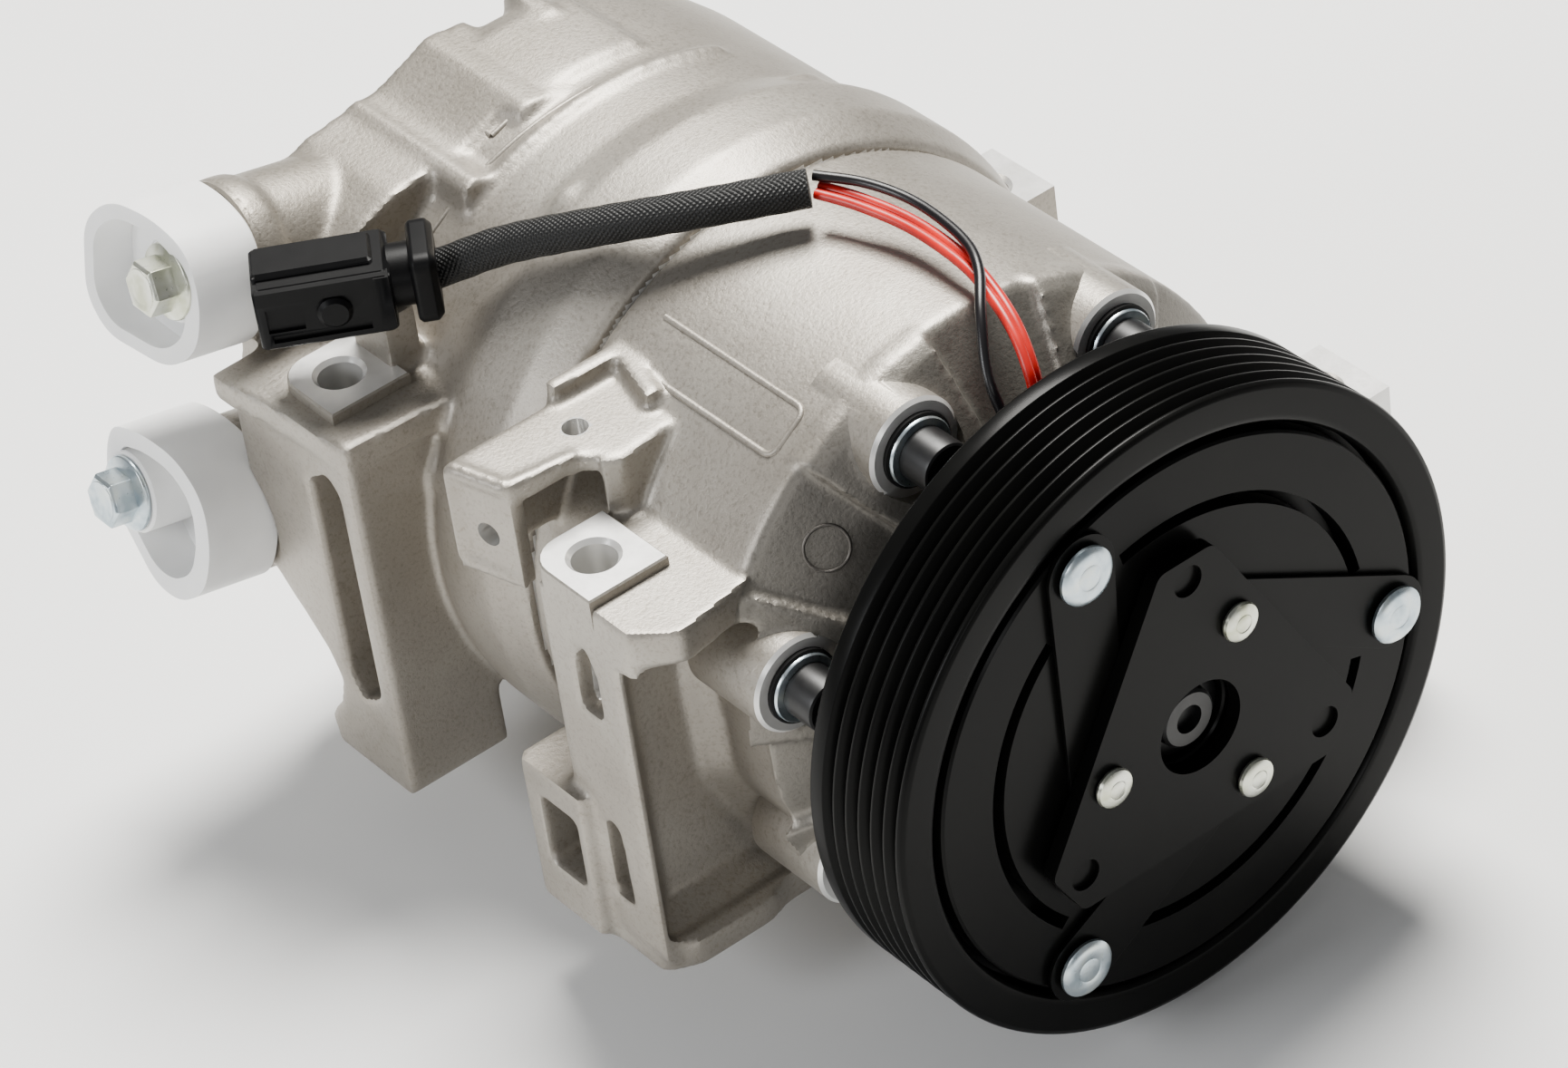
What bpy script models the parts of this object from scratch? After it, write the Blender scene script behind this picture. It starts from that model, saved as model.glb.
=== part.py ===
"""Automotive air-conditioning compressor with a belt-driven magnetic clutch.

A swash-plate machine with seven single-headed pistons and a tilting plate.  The frame
of the model is +X to the right seen from the pulley, +Y rearwards along the shaft and
+Z up along the mounting bores.  Lengths below are millimetres, measured from the shaft
axis and from the plane of the pulley's front rim; the helpers turn them into metres,
and the whole part is set down with its origin at the bottom centre of its box.
"""

import math

import bmesh
import bpy
from mathutils import Matrix, Vector

MM = 0.001
GAP = 0.3

# Pulley and clutch.
PULLEY_R = 67.5
GROOVES = 6
GROOVE_PITCH = 3.56
GROOVE_DEPTH = 2.9
FRONT_LAND = 1.2
BACK_LAND = 3.8
PULLEY_WIDTH = FRONT_LAND + GROOVES * GROOVE_PITCH + BACK_LAND
RIM_INNER_R = 54.3
ARMATURE_R = 57.7
ARMATURE_INNER_R = 27.5
ARMATURE_THICK = 5.0
AIR_GAP = 0.5
FRICTION_WALL = 5.0
RIVET_CIRCLE = 51.5
RIVET_ANGLE = -6.3
RIVET_SHANK_R = 3.0
SLOT_R = 44.5
SLOT_WIDTH = 2.6
SLOT_SPAN = 94.0
HUB_PLATE_FRONT = -4.9
HUB_PLATE_THICK = 3.2
HUB_CORNER_R = 40.0
HUB_CORNER_HALF = 9.3
HUB_HOLE_R = 9.8
HUB_FLANGE_R = 25.5
HUB_BOSS_R = 12.2
SMALL_RIVET_CIRCLE = 22.0
SMALL_RIVET_ANGLE = 60.7
SMALL_RIVET_R = 2.3
DIMPLE_CIRCLE = 34.5
DIMPLE_ANGLE = -30.4
LEAF_FRONT = HUB_PLATE_FRONT + HUB_PLATE_THICK + GAP
LEAF_THICK = 0.8

# Clutch bearing: 35 mm bore, 50 mm outside, 20 mm wide.
BEARING_BORE_R = 17.5
BEARING_OUTER_R = 25.0
BEARING_WIDTH = 20.0
BEARING_FRONT = 6.0
RACE_WALL = 2.5

# Shaft and nose.
SHAFT_R = 9.0
SPIGOT_R = 7.4
SHAFT_FRONT = 3.0
SHAFT_REAR = 146.0
SEAL_BORE_R = 13.0
NEEDLE_R = 11.9
CLUTCH_BOLT_R = 3.0

# Casings.
SHELL_R = 66.0
REAR_R = 70.0
TAIL_R = 67.0
CAVITY_R = 50.8
WALL_FRONT = 38.0
CAVITY_FRONT = 50.0
SHOULDER_Y = 54.7
SPLIT_Y = 112.6
REAR_STEP_Y = 142.0
REAR_END = 203.0
CHAMBER_END = 192.0
BOLT_COUNT = 7
BOLT_CIRCLE = 56.1
BOLT_ANGLE = 9.6
BOLT_SEAT = 43.4
BOLT_R = 3.0
BOLT_BOSS_R = 9.3
BOLT_REACH = 126.0

# Mounting lugs: bores along Z, pads on top, feet below.
LUG_BORE_R = 4.5
LUG_X = -72.0
FRONT_LUG_Y = 77.6
REAR_LUG_Y = 159.0
LUG_FACE_X = -84.6
PAD_Z = 37.8
PLATE_Z = 34.2
FOOT_Z = -53.0
FAR_LUG_X = 84.0
FAR_FRONT_Y = 54.0
FAR_REAR_Y = 154.5
FAR_PAD_Z = 0.0
FAR_LUG_HALF = 10.0

# Ports: side by side on an inclined face at the rear left.
PORT_TILT = 12.0
PORT_Y = 192.0
UPPER_PORT = (84.0, 33.0)
LOWER_PORT = (80.5, -21.0)
SPOUT_R = 15.5
PORT_BORE_R = 6.5
UPPER_DUCT = (-5.5, -3.5)
LOWER_DUCT = (6.2, -3.0)
UPPER_BOLT = (6.6, 3.6)
LOWER_BOLT = (-8.5, 2.7)
UPPER_CAP_LENGTH = 17.0
LOWER_CAP_LENGTH = 19.0

# Swash drive.
PISTON_COUNT = 7
PISTON_CIRCLE = 34.5
PISTON_R = 12.9
CROWN_Y = 149.6
SWASH_Y = 94.0
SWASH_R = 44.0
SWASH_THICK = 6.0
POCKET_HALF = 8.0
BRIDGE_WALL = 5.6
BLOCK_FRONT = 109.0
BLOCK_REAR = 150.0
BLOCK_R = CAVITY_R - 0.4
LUG_PLATE_R = 43.0
LUG_PLATE_REAR = 58.0

# Valve plates, front faces and thicknesses from the cylinder block rearwards.
SUCTION_REED = (150.3, 0.6)
VALVE_PLATE = (151.2, 3.0)
DISCHARGE_REED = (154.5, 0.6)
HEAD_GASKET = (155.4, 0.8)
HEAD_FACE = 156.5

# Harness.
SLEEVE_R = 3.9
WIRE_R = 1.2
CONNECTOR_SIZE = (36.0, 17.0, 15.5)


def clear_scene():
    for obj in list(bpy.data.objects):
        bpy.data.objects.remove(obj, do_unlink=True)


def new_collection(name):
    collection = bpy.data.collections.new(name)
    bpy.context.scene.collection.children.link(collection)
    return collection


clear_scene()
PARTS = new_collection("ac_compressor")
TOOLS = new_collection("cutters")
FRAME = bpy.data.objects.new("compressor_frame", None)
PARTS.objects.link(FRAME)


def linear(channel):
    return channel / 12.92 if channel <= 0.04045 else ((channel + 0.055) / 1.055) ** 2.4


def finish(name, colour, roughness, metallic):
    """A plain Principled material from an sRGB hex colour."""
    material = bpy.data.materials.new(name)
    material.use_nodes = True
    shader = material.node_tree.nodes["Principled BSDF"]
    rgb = [linear(int(colour[i:i + 2], 16) / 255) for i in (0, 2, 4)]
    shader.inputs["Base Color"].default_value = (*rgb, 1)
    shader.inputs["Roughness"].default_value = roughness
    shader.inputs["Metallic"].default_value = metallic
    return material


CAST = finish("cast_aluminium", "C9C5BF", 0.55, 0.6)
TURNED = finish("machined_steel", "B9BBBD", 0.3, 1.0)
ALLOY = finish("machined_aluminium", "CFCFCD", 0.35, 1.0)
BLACK = finish("black_paint", "232322", 0.4, 0.1)
ZINC = finish("zinc_plate", "C8D2D8", 0.3, 1.0)
WHITE = finish("white_polyethylene", "F0F1F2", 0.5, 0.0)
RUBBER = finish("black_rubber", "161616", 0.8, 0.0)
PLASTIC = finish("black_plastic", "1B1B1C", 0.5, 0.0)
BRAID = finish("braided_sleeve", "151515", 0.8, 0.0)
RED = finish("red_insulation", "D8322C", 0.4, 0.0)
COPPER = finish("resin_winding", "7A3B1E", 0.5, 0.0)
GASKET = finish("coated_gasket", "5B5F63", 0.6, 0.2)


def add(name, data, look=None):
    """Link an object under the frame: a part if it has a look, else a shaping tool."""
    obj = bpy.data.objects.new(name, data)
    obj.parent = FRAME
    if look is None:
        TOOLS.objects.link(obj)
        obj.hide_render = True
        obj.display_type = "WIRE"
    else:
        PARTS.objects.link(obj)
        if not data.materials:
            data.materials.append(look)
    return obj


def frozen(obj):
    """The evaluated mesh of an object, welded; the object itself is removed."""
    depsgraph = bpy.context.evaluated_depsgraph_get()
    mesh = bpy.data.meshes.new_from_object(obj.evaluated_get(depsgraph))
    bm = bmesh.new()
    bm.from_mesh(mesh)
    bmesh.ops.remove_doubles(bm, verts=bm.verts, dist=0.00001)
    bm.to_mesh(mesh)
    bm.free()
    bpy.data.objects.remove(obj, do_unlink=True)
    return mesh


def turned(name, profile, look=None, steps=32, at=(0, 0, 0), along=(0, 1, 0)):
    """A body of revolution from (radius, distance) points, front to rear outside."""
    mesh = bpy.data.meshes.new(name)
    points = [(r * MM, 0, -y * MM) for r, y in profile]
    edges = [(i, i + 1) for i in range(len(points) - 1)]
    if profile[0][0] > 0:
        edges.append((len(points) - 1, 0))
    mesh.from_pydata(points, edges, [])
    obj = add(name, mesh, look)
    obj.location = Vector(at) * MM
    obj.rotation_euler = Vector((0, 0, -1)).rotation_difference(Vector(along)).to_euler()
    screw = obj.modifiers.new("turn", "SCREW")
    screw.steps = screw.render_steps = steps
    screw.use_merge_vertices = True
    screw.merge_threshold = 0.00001
    screw.use_smooth_shade = False
    return obj


def rod(name, radius, start, end, look=None, sides=16, turn=0.0):
    """A cylinder between two points."""
    mesh = bpy.data.meshes.new(name)
    low, high = Vector(start) * MM, Vector(end) * MM
    bm = bmesh.new()
    bmesh.ops.create_cone(bm, cap_ends=True, segments=sides, radius1=radius * MM,
                          radius2=radius * MM, depth=(high - low).length,
                          matrix=Matrix.Rotation(turn, 4, "Z"))
    bm.to_mesh(mesh)
    bm.free()
    obj = add(name, mesh, look)
    obj.location = (low + high) / 2
    obj.rotation_euler = Vector((0, 0, 1)).rotation_difference(high - low).to_euler()
    return obj


def block(name, low, high, look=None):
    """A box between two corners."""
    mesh = bpy.data.meshes.new(name)
    low, high = Vector(low) * MM, Vector(high) * MM
    bm = bmesh.new()
    bmesh.ops.create_cube(bm, size=1, matrix=Matrix.Diagonal((*(high - low), 1)))
    bm.to_mesh(mesh)
    bm.free()
    obj = add(name, mesh, look)
    obj.location = (low + high) / 2
    return obj


SLAB_TURNS = {
    "X": Matrix(((0, 0, 1), (1, 0, 0), (0, 1, 0))),
    "Y": Matrix(((1, 0, 0), (0, 0, -1), (0, 1, 0))),
    "Z": Matrix.Identity(3),
}


def slab(name, outline, low, high, axis, look=None):
    """A flat outline of (first, second) points, extruded along an axis."""
    curve = bpy.data.curves.new(name, "CURVE")
    curve.dimensions = "2D"
    curve.fill_mode = "BOTH"
    curve.extrude = (high - low) / 2 * MM
    spline = curve.splines.new("POLY")
    spline.points.add(len(outline) - 1)
    for point, (first, second) in zip(spline.points, outline):
        point.co = (first * MM, second * MM, 0, 1)
    spline.use_cyclic_u = True
    flat = bpy.data.objects.new(name, curve)
    TOOLS.objects.link(flat)
    obj = add(name, frozen(flat), look)
    middle = (low + high) / 2 * MM
    place = SLAB_TURNS[axis].to_4x4()
    place.translation = [middle if letter == axis else 0 for letter in "XYZ"]
    obj.matrix_local = place
    return obj


def shape(target, operation, *tools, solver="EXACT"):
    """Join tools to a target (UNION) or cut them from it (DIFFERENCE)."""
    for tool in tools:
        modifier = target.modifiers.new(tool.name, "BOOLEAN")
        modifier.operation = operation
        modifier.solver = solver
        modifier.object = tool
    return target


def ring(name, inner, outer, front, rear, look, steps=24):
    """A plain ring or washer round the shaft axis."""
    return turned(name, [(inner, front), (outer, front), (outer, rear), (inner, rear)],
                  look, steps)


def polar(radius, angle, y=0.0):
    """A point at an angle in the XZ plane, +X at 0 and +Z at 90 degrees."""
    turn = math.radians(angle)
    return (radius * math.cos(turn), y, radius * math.sin(turn))


def flat(point):
    return point[0], point[2]


def spread(first, count):
    """Angles of a pattern spaced evenly round the shaft."""
    return [first + 360 / count * i for i in range(count)]


# ---------------------------------------------------------------- casings

BOLT_ANGLES = spread(BOLT_ANGLE, BOLT_COUNT)


def bolt_holes(prefix, front, rear):
    return [rod(f"{prefix}_hole_{i}", BOLT_R + GAP + 0.05, polar(BOLT_CIRCLE, a, front),
                polar(BOLT_CIRCLE, a, rear), sides=10)
            for i, a in enumerate(BOLT_ANGLES)]


def lug_bore(name, x, y, top):
    return rod(name, LUG_BORE_R, (x, y, FOOT_Z - 5), (x, y, top + 5))


def front_housing():
    """Crankcase and nose in one casting, with bolt bosses, lugs and a side bracket."""
    nose_r = BEARING_BORE_R - GAP
    shell = turned("front_housing", [
        (SEAL_BORE_R, BEARING_FRONT - 1), (nose_r, BEARING_FRONT - 1), (nose_r, WALL_FRONT),
        (36, WALL_FRONT), (44, WALL_FRONT + 2), (SHELL_R - 1, SHOULDER_Y - 0.6),
        (SHELL_R, SHOULDER_Y + 1), (SHELL_R, SPLIT_Y - 0.15), (CAVITY_R, SPLIT_Y - 0.15),
        (CAVITY_R, CAVITY_FRONT), (NEEDLE_R + GAP, CAVITY_FRONT), (NEEDLE_R + GAP, 30.5),
        (SEAL_BORE_R, 30.5)], CAST, 40)
    bosses = [rod(f"bolt_boss_{i}", BOLT_BOSS_R, polar(BOLT_CIRCLE, a, BOLT_SEAT),
                  polar(BOLT_CIRCLE, a, BOLT_SEAT + 14))
              for i, a in enumerate(BOLT_ANGLES)]
    post_front, post_rear = FRONT_LUG_Y - 15.6, FRONT_LUG_Y + 7.4
    post = slab("front_post", [
        (LUG_FACE_X + 3.6, PLATE_Z), (-52, PLATE_Z), (-57, 10), (-56, -16), (-46, -37),
        (-40, -52), (-45, FOOT_Z), (-67, FOOT_Z), (-79, FOOT_Z), (LUG_FACE_X + 3.6, FOOT_Z + 3)],
        post_front, post_rear, "Y")
    table = slab("front_table", [
        (LUG_FACE_X + 3.6, 57), (-73, 50), (-54, 53.6), (-52, FRONT_LUG_Y + 11),
        (-74, FRONT_LUG_Y + 11), (LUG_FACE_X + 3.6, FRONT_LUG_Y + 4)],
        PLATE_Z - 5, PLATE_Z, "Z")
    pad = slab("front_pad", lug_pad(FRONT_LUG_Y), PLATE_Z - 3, PAD_Z, "Z")
    box = block("front_box", (-83.2, 79, -51), (-64, 98.5, -17))
    bracket = side_bracket()
    far = block("far_front_lug", (58, FAR_FRONT_Y - FAR_LUG_HALF, FOOT_Z),
                (FAR_LUG_X + FAR_LUG_HALF, FAR_FRONT_Y + FAR_LUG_HALF, FAR_PAD_Z))
    shape(shell, "UNION", *bosses, post, table, pad, box, *bracket, far, solver="MANIFOLD")
    pocket = slab("front_post_pocket", [
        (-77.5, 26), (-70, 24), (-70, 4), (-66, -14), (-57, -32), (-50, -44), (-60, -47),
        (-77.5, -44)], post_front - 1, post_front + 6, "Y")
    window = block("box_window", (-90, 82, -40), (-72, 93, -24))
    shape(shell, "DIFFERENCE", pocket, window, *bolt_holes("front", 30, SPLIT_Y + 1),
          lug_bore("front_bore", LUG_X, FRONT_LUG_Y, PAD_Z),
          lug_bore("far_front_bore", FAR_LUG_X, FAR_FRONT_Y, FAR_PAD_Z), solver="MANIFOLD")
    return shell


def lug_pad(y):
    """Machined pad round a lug bore: square, with one side drawn as a half round."""
    corner = [(-74.5 + 6.5 * math.cos(t), y + 3.2 + 6.5 * math.sin(t))
              for t in (math.radians(a) for a in (90, 112.5, 135, 157.5, 180))]
    return [(-81, y - 10.2), (-62.5, y - 10.2), (-62.5, y + 9.7)] + corner


def side_bracket():
    """Open bracket between the lugs: a top plate, an outer leaf and a cross wall."""
    top = slab("bracket_top", [
        (-82.8, 107.6), (-78.6, 92.3), (-64, 90.8), (-58, 85), (-46, 88), (-40, 109)],
        45.5, 49.2, "Z")
    leaf = slab("bracket_leaf", [
        (-82.8, 107.6), (-78.6, 92.3), (-75, 93.3), (-79.2, 108.6)], 25, 49.2, "Z")
    wall = slab("bracket_wall", [
        (-62, 87), (-58, 84), (-44, 86), (-44, 90), (-57, 90)], 30, 49.2, "Z")
    web = slab("bracket_web", [
        (-79, 104.6), (-78.2, 108.6), (-52, 108.6), (-52, 104.6)], 25, 49.2, "Z")
    holes = [rod("bracket_hole_top", 2.6, (-58.6, 98.4, 40), (-58.6, 98.4, 55), sides=12),
             rod("bracket_hole_side", 2.6, (-90, 96.6, 36), (-72, 101.4, 36), sides=12)]
    shape(top, "DIFFERENCE", holes[0])
    shape(leaf, "DIFFERENCE", holes[1])
    return top, leaf, wall, web


def port_place(port, offset=(0, 0)):
    """Matrix of a port's own frame: +Z out of the port, +X forwards, +Y upwards."""
    tilt = math.radians(PORT_TILT)
    reach, height = port
    forwards = Vector((0, -1, 0))
    upwards = Vector((math.sin(tilt), 0, math.cos(tilt)))
    outwards = Vector((-math.cos(tilt), 0, math.sin(tilt)))
    place = Matrix((forwards, upwards, outwards)).transposed().to_4x4()
    place.translation = (outwards * reach + upwards * (height + offset[1])
                         + forwards * (offset[0] - PORT_Y)) * MM
    return place


def at_port(obj, port, offset=(0, 0)):
    """Move an object that is drawn in a port's frame to that port."""
    bpy.context.view_layer.update()
    obj.matrix_local = port_place(port, offset) @ obj.matrix_local
    return obj


def rear_housing():
    """Rear shell and head: cylinder jacket, gas chambers, port spouts and lugs."""
    shell = turned("rear_housing", [
        (9.4, CHAMBER_END), (24, CHAMBER_END), (24, HEAD_FACE), (27, HEAD_FACE),
        (27, CHAMBER_END), (46, CHAMBER_END), (46, HEAD_FACE), (CAVITY_R, HEAD_FACE),
        (CAVITY_R, SPLIT_Y + 0.15), (60.6, SPLIT_Y + 0.15), (60.6, SPLIT_Y + 2.5),
        (64.4, SPLIT_Y + 2.5), (64.4, SPLIT_Y + 0.15), (REAR_R - 1.5, SPLIT_Y + 0.15),
        (REAR_R, SPLIT_Y + 2), (REAR_R, REAR_STEP_Y), (TAIL_R, REAR_STEP_Y + 5),
        (TAIL_R, REAR_END - 10), (TAIL_R - 2, REAR_END - 5), (TAIL_R - 10, REAR_END),
        (9.4, REAR_END)], CAST, 40)
    ports = slab("port_block", [
        (-8, 66), (-48, 56), (-62, 52), (-70, 20), (-76, -12), (-72, -36), (-50, -44),
        (-48, -20), (-52, 20), (-20, 50)], 172, REAR_END - 1.5, "Y")
    spouts = [at_port(rod(f"spout_{i}", SPOUT_R, (0, 0, -inward), (0, 0, 0), sides=32),
                      port) for i, (port, inward) in
              enumerate(((UPPER_PORT, 50), (LOWER_PORT, 62)))]
    post = slab("rear_post", [
        (141, PLATE_Z), (181, PLATE_Z), (181, -12), (163, -27), (161, -33), (163, -40),
        (168, -46), (167, FOOT_Z), (141, FOOT_Z)], LUG_FACE_X, -62, "X")
    table = slab("rear_table", [
        (LUG_FACE_X, 140.9), (-52, 138), (-52, 181), (-74, 181.8), (-88.7, 181), (-86, 165)],
        PLATE_Z - 5, PLATE_Z, "Z")
    shape(post, "DIFFERENCE",
          at_port(rod("cap_room", 18, (0, 0, -0.5), (0, 0, 30), sides=32), LOWER_PORT))
    pad = slab("rear_pad", lug_pad(REAR_LUG_Y), PLATE_Z - 3, PAD_Z, "Z")
    perch = block("connector_perch", (-70, 152, PLATE_Z - 2), (-56, 166, 50.1 - GAP))
    rib = block("table_rib", (-66, 142.5, 18), (-49, 178.6, PLATE_Z - 2.4))
    far = block("far_rear_lug", (58, FAR_REAR_Y - FAR_LUG_HALF, FOOT_Z),
                (FAR_LUG_X + FAR_LUG_HALF, FAR_REAR_Y + FAR_LUG_HALF, FAR_PAD_Z))
    shape(shell, "UNION", ports, *spouts, post, table, pad, perch, rib, far)
    recess = slab("rear_post_recess", [
        (146.5, 21), (152, 24.5), (157, 20), (157, -29), (152, -34), (146.5, -30)],
        LUG_FACE_X - 2, LUG_FACE_X + 6, "X")
    bores = [at_port(rod(f"port_bore_{i}", PORT_BORE_R, (0, 0, -inward), (0, 0, 5)),
                     port, duct) for i, (port, duct, inward) in
             enumerate(((UPPER_PORT, UPPER_DUCT, 72), (LOWER_PORT, LOWER_DUCT, 66)))]
    threads = [at_port(rod(f"cap_thread_{i}", BOLT_R + GAP, (0, 0, -16), (0, 0, 5), sides=12),
                       port, place) for i, (port, place) in
               enumerate(((UPPER_PORT, UPPER_BOLT), (LOWER_PORT, LOWER_BOLT)))]
    relief = rod("relief_seat", 5.3, (*RELIEF_AT[:1], CHAMBER_END - 6, RELIEF_AT[1]),
                 (*RELIEF_AT[:1], REAR_END + 5, RELIEF_AT[1]))
    shape(shell, "DIFFERENCE", recess, *bores, *threads, relief,
          *bolt_holes("rear", SPLIT_Y - 1, BOLT_REACH + 2),
          lug_bore("rear_bore", LUG_X, REAR_LUG_Y, PAD_Z),
          lug_bore("far_rear_bore", FAR_LUG_X, FAR_REAR_Y, FAR_PAD_Z))
    return shell


RELIEF_AT = (31.0, -20.0)


def cylinder_block():
    body = turned("cylinder_block", [
        (NEEDLE_R + GAP, BLOCK_FRONT), (BLOCK_R, BLOCK_FRONT), (BLOCK_R, BLOCK_REAR),
        (SHAFT_R + 0.6, BLOCK_REAR), (SHAFT_R + 0.6, 129), (NEEDLE_R + GAP, 129)], CAST, 32)
    bores = [rod(f"cylinder_{i}", PISTON_R + GAP, polar(PISTON_CIRCLE, a, BLOCK_FRONT - 2),
                 polar(PISTON_CIRCLE, a, BLOCK_REAR + 2), sides=20)
             for i, a in enumerate(PISTON_ANGLES)]
    return shape(body, "DIFFERENCE", *bores)


def valve_stack():
    """Suction reed, valve plate, discharge reed star and head gasket."""
    def disc(name, place, hole_r, hole_circle):
        front, thick = place
        plate = ring(name, 4.0, BLOCK_R, front, front + thick, TURNED, 32)
        holes = [rod(f"{name}_port_{i}", hole_r, polar(hole_circle, a, front - 2),
                     polar(hole_circle, a, front + thick + 2), sides=8)
                 for i, a in enumerate(PISTON_ANGLES)]
        return shape(plate, "DIFFERENCE", *holes, solver="MANIFOLD")

    disc("suction_reed", SUCTION_REED, 2.4, PISTON_CIRCLE - 4)
    disc("valve_plate", VALVE_PLATE, 2.8, PISTON_CIRCLE - 4)
    star = []
    for angle in PISTON_ANGLES:
        for turn, radius in ((-18, 14), (-7, 32), (0, 35), (7, 32), (18, 14)):
            star.append(flat(polar(radius, angle + turn)))
    front, thick = DISCHARGE_REED
    slab("discharge_reed", star, front, front + thick, "Y", TURNED)
    front, thick = HEAD_GASKET
    ring("head_gasket", 46.5, BLOCK_R, front, front + thick, GASKET, 32)


def body_o_ring():
    """Cord of round section in the face groove of the rear casing."""
    section = [(62.5 + math.cos(t), SPLIT_Y + 1.25 - math.sin(t))
               for t in (math.tau * i / 6 for i in range(6))]
    turned("body_o_ring", list(reversed(section)), RUBBER, 32)


def through_bolts():
    """Long screws that clamp the casings: cap head, washer face and shank."""
    head_front, washer = BOLT_SEAT - 9.5, BOLT_SEAT - 1.8
    bolt = turned("bolt_pattern", [
        (0, head_front + 4), (2.6, head_front + 4), (2.6, head_front), (5.0, head_front),
        (5.5, head_front + 0.6), (5.5, washer), (7.5, washer), (7.5, BOLT_SEAT - GAP),
        (BOLT_R, BOLT_SEAT - GAP), (BOLT_R, BOLT_REACH), (0, BOLT_REACH)], steps=12)
    mesh = frozen(bolt)
    for i, angle in enumerate(BOLT_ANGLES, 1):
        obj = add(f"through_bolt_{i}", mesh, BLACK)
        obj.location = Vector(polar(BOLT_CIRCLE, angle)) * MM
        obj.rotation_euler = (math.pi / 2, 0, 0)


# ---------------------------------------------------------------- ports and caps

def port_caps():
    """White transport caps, each held by a flanged hexagon bolt."""
    bolt = turned("cap_bolt_pattern", [
        (0, -7), (3.4, -7), (4.0, -6.4), (4.0, -1.6), (7.9, -1.4), (7.9, 0), (2.9, 0),
        (2.9, 24), (0, 24)], steps=16, along=(0, 0, -1))
    hexagon = rod("cap_bolt_hexagon", 5.6, (0, 0, 1.5), (0, 0, 6.6), sides=6)
    mesh = frozen(shape(bolt, "UNION", hexagon))
    for name, port, duct, place, length in (
            ("upper", UPPER_PORT, UPPER_DUCT, UPPER_BOLT, UPPER_CAP_LENGTH),
            ("lower", LOWER_PORT, LOWER_DUCT, LOWER_BOLT, LOWER_CAP_LENGTH)):
        cap = at_port(rod(f"{name}_port_cap", 17.2, (0, 0, GAP), (0, 0, length), WHITE, 32),
                      port)
        plug = at_port(rod(f"{name}_plug", PORT_BORE_R - GAP, (0, 0, -12), (0, 0, 2)),
                       port, duct)
        hole = at_port(rod(f"{name}_cap_hole", BOLT_R + GAP, (0, 0, -2), (0, 0, length + 2),
                           sides=12), port, place)
        shape(cap, "UNION", plug)
        shape(cap, "DIFFERENCE", hole)
        obj = add(f"{name}_cap_bolt", mesh, ZINC)
        obj.matrix_local = (port_place(port, place)
                            @ Matrix.Translation((0, 0, (length + GAP) * MM)))


def rear_valves():
    """Control valve in the middle of the head, relief valve beside it."""
    turned("control_valve", [
        (0, 168), (6.5, 168), (6.5, CHAMBER_END - 4), (9.1, CHAMBER_END - 4),
        (9.1, REAR_END + GAP), (12.5, REAR_END + GAP), (12.5, REAR_END + 3), (8, REAR_END + 4),
        (8, REAR_END + 6), (0, REAR_END + 6)], TURNED, 24)
    turned("relief_valve", [
        (0, CHAMBER_END - 3), (5.0, CHAMBER_END - 3), (5.0, REAR_END + GAP),
        (8.0, REAR_END + GAP), (8.0, REAR_END + 4), (4.2, REAR_END + 5), (4.2, REAR_END + 7),
        (0, REAR_END + 7)], ZINC, 6, at=(RELIEF_AT[0], 0, RELIEF_AT[1]))


# ---------------------------------------------------------------- clutch

def pulley():
    """Six-groove pulley: grooved rim, friction wall and bearing hub."""
    rim = [(PULLEY_R - 0.5, 0), (PULLEY_R, 0.5)]
    for i in range(GROOVES):
        start = FRONT_LAND + i * GROOVE_PITCH
        rim += [(PULLEY_R, start + 0.3), (PULLEY_R - GROOVE_DEPTH, start + GROOVE_PITCH / 2)]
    rim += [(PULLEY_R, PULLEY_WIDTH - BACK_LAND), (PULLEY_R, PULLEY_WIDTH)]
    wall = ARMATURE_THICK + AIR_GAP
    hub_r = BEARING_OUTER_R + GAP
    turned("pulley", [(ARMATURE_R + 1.4, 0)] + rim + [
        (RIM_INNER_R, PULLEY_WIDTH), (RIM_INNER_R, wall + FRICTION_WALL),
        (hub_r + 4.5, wall + FRICTION_WALL), (hub_r + 4.5, BEARING_FRONT + BEARING_WIDTH),
        (hub_r, BEARING_FRONT + BEARING_WIDTH), (hub_r, wall), (ARMATURE_R + 1.4, wall)],
        BLACK, 40)


def clutch_bearing():
    rear = BEARING_FRONT + BEARING_WIDTH
    ring("bearing_inner_race", BEARING_BORE_R, BEARING_BORE_R + RACE_WALL, BEARING_FRONT,
         rear, TURNED)
    ring("bearing_outer_race", BEARING_OUTER_R - RACE_WALL, BEARING_OUTER_R, BEARING_FRONT,
         rear, TURNED)


def coil():
    """Field coil: a steel cup fixed to the front casing, with the winding potted in it."""
    front = ARMATURE_THICK + AIR_GAP + FRICTION_WALL + 0.6
    floor, back, rear = 30.0, 33.2, WALL_FRONT - 1
    turned("coil_cup", [
        (BEARING_BORE_R + 0.1, floor), (31, floor), (31, front), (34, front),
        (34, floor), (50, floor), (50, front), (53.4, front), (53.4, back), (47, back),
        (42, rear), (BEARING_BORE_R + 0.1, rear)], BLACK, 32)
    ring("coil_winding", 34 + GAP, 50 - GAP, front + 2, floor - GAP, COPPER)


def arc_slot(name, middle):
    """Curved slot through the armature, from angle to angle along its circle."""
    steps = 8
    angles = [middle + SLOT_SPAN * (i / steps - 0.5) for i in range(steps + 1)]
    outer = [flat(polar(SLOT_R + SLOT_WIDTH / 2, a)) for a in angles]
    inner = [flat(polar(SLOT_R - SLOT_WIDTH / 2, a)) for a in reversed(angles)]
    return slab(name, outer + inner, -2, ARMATURE_THICK + 2, "Y")


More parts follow.
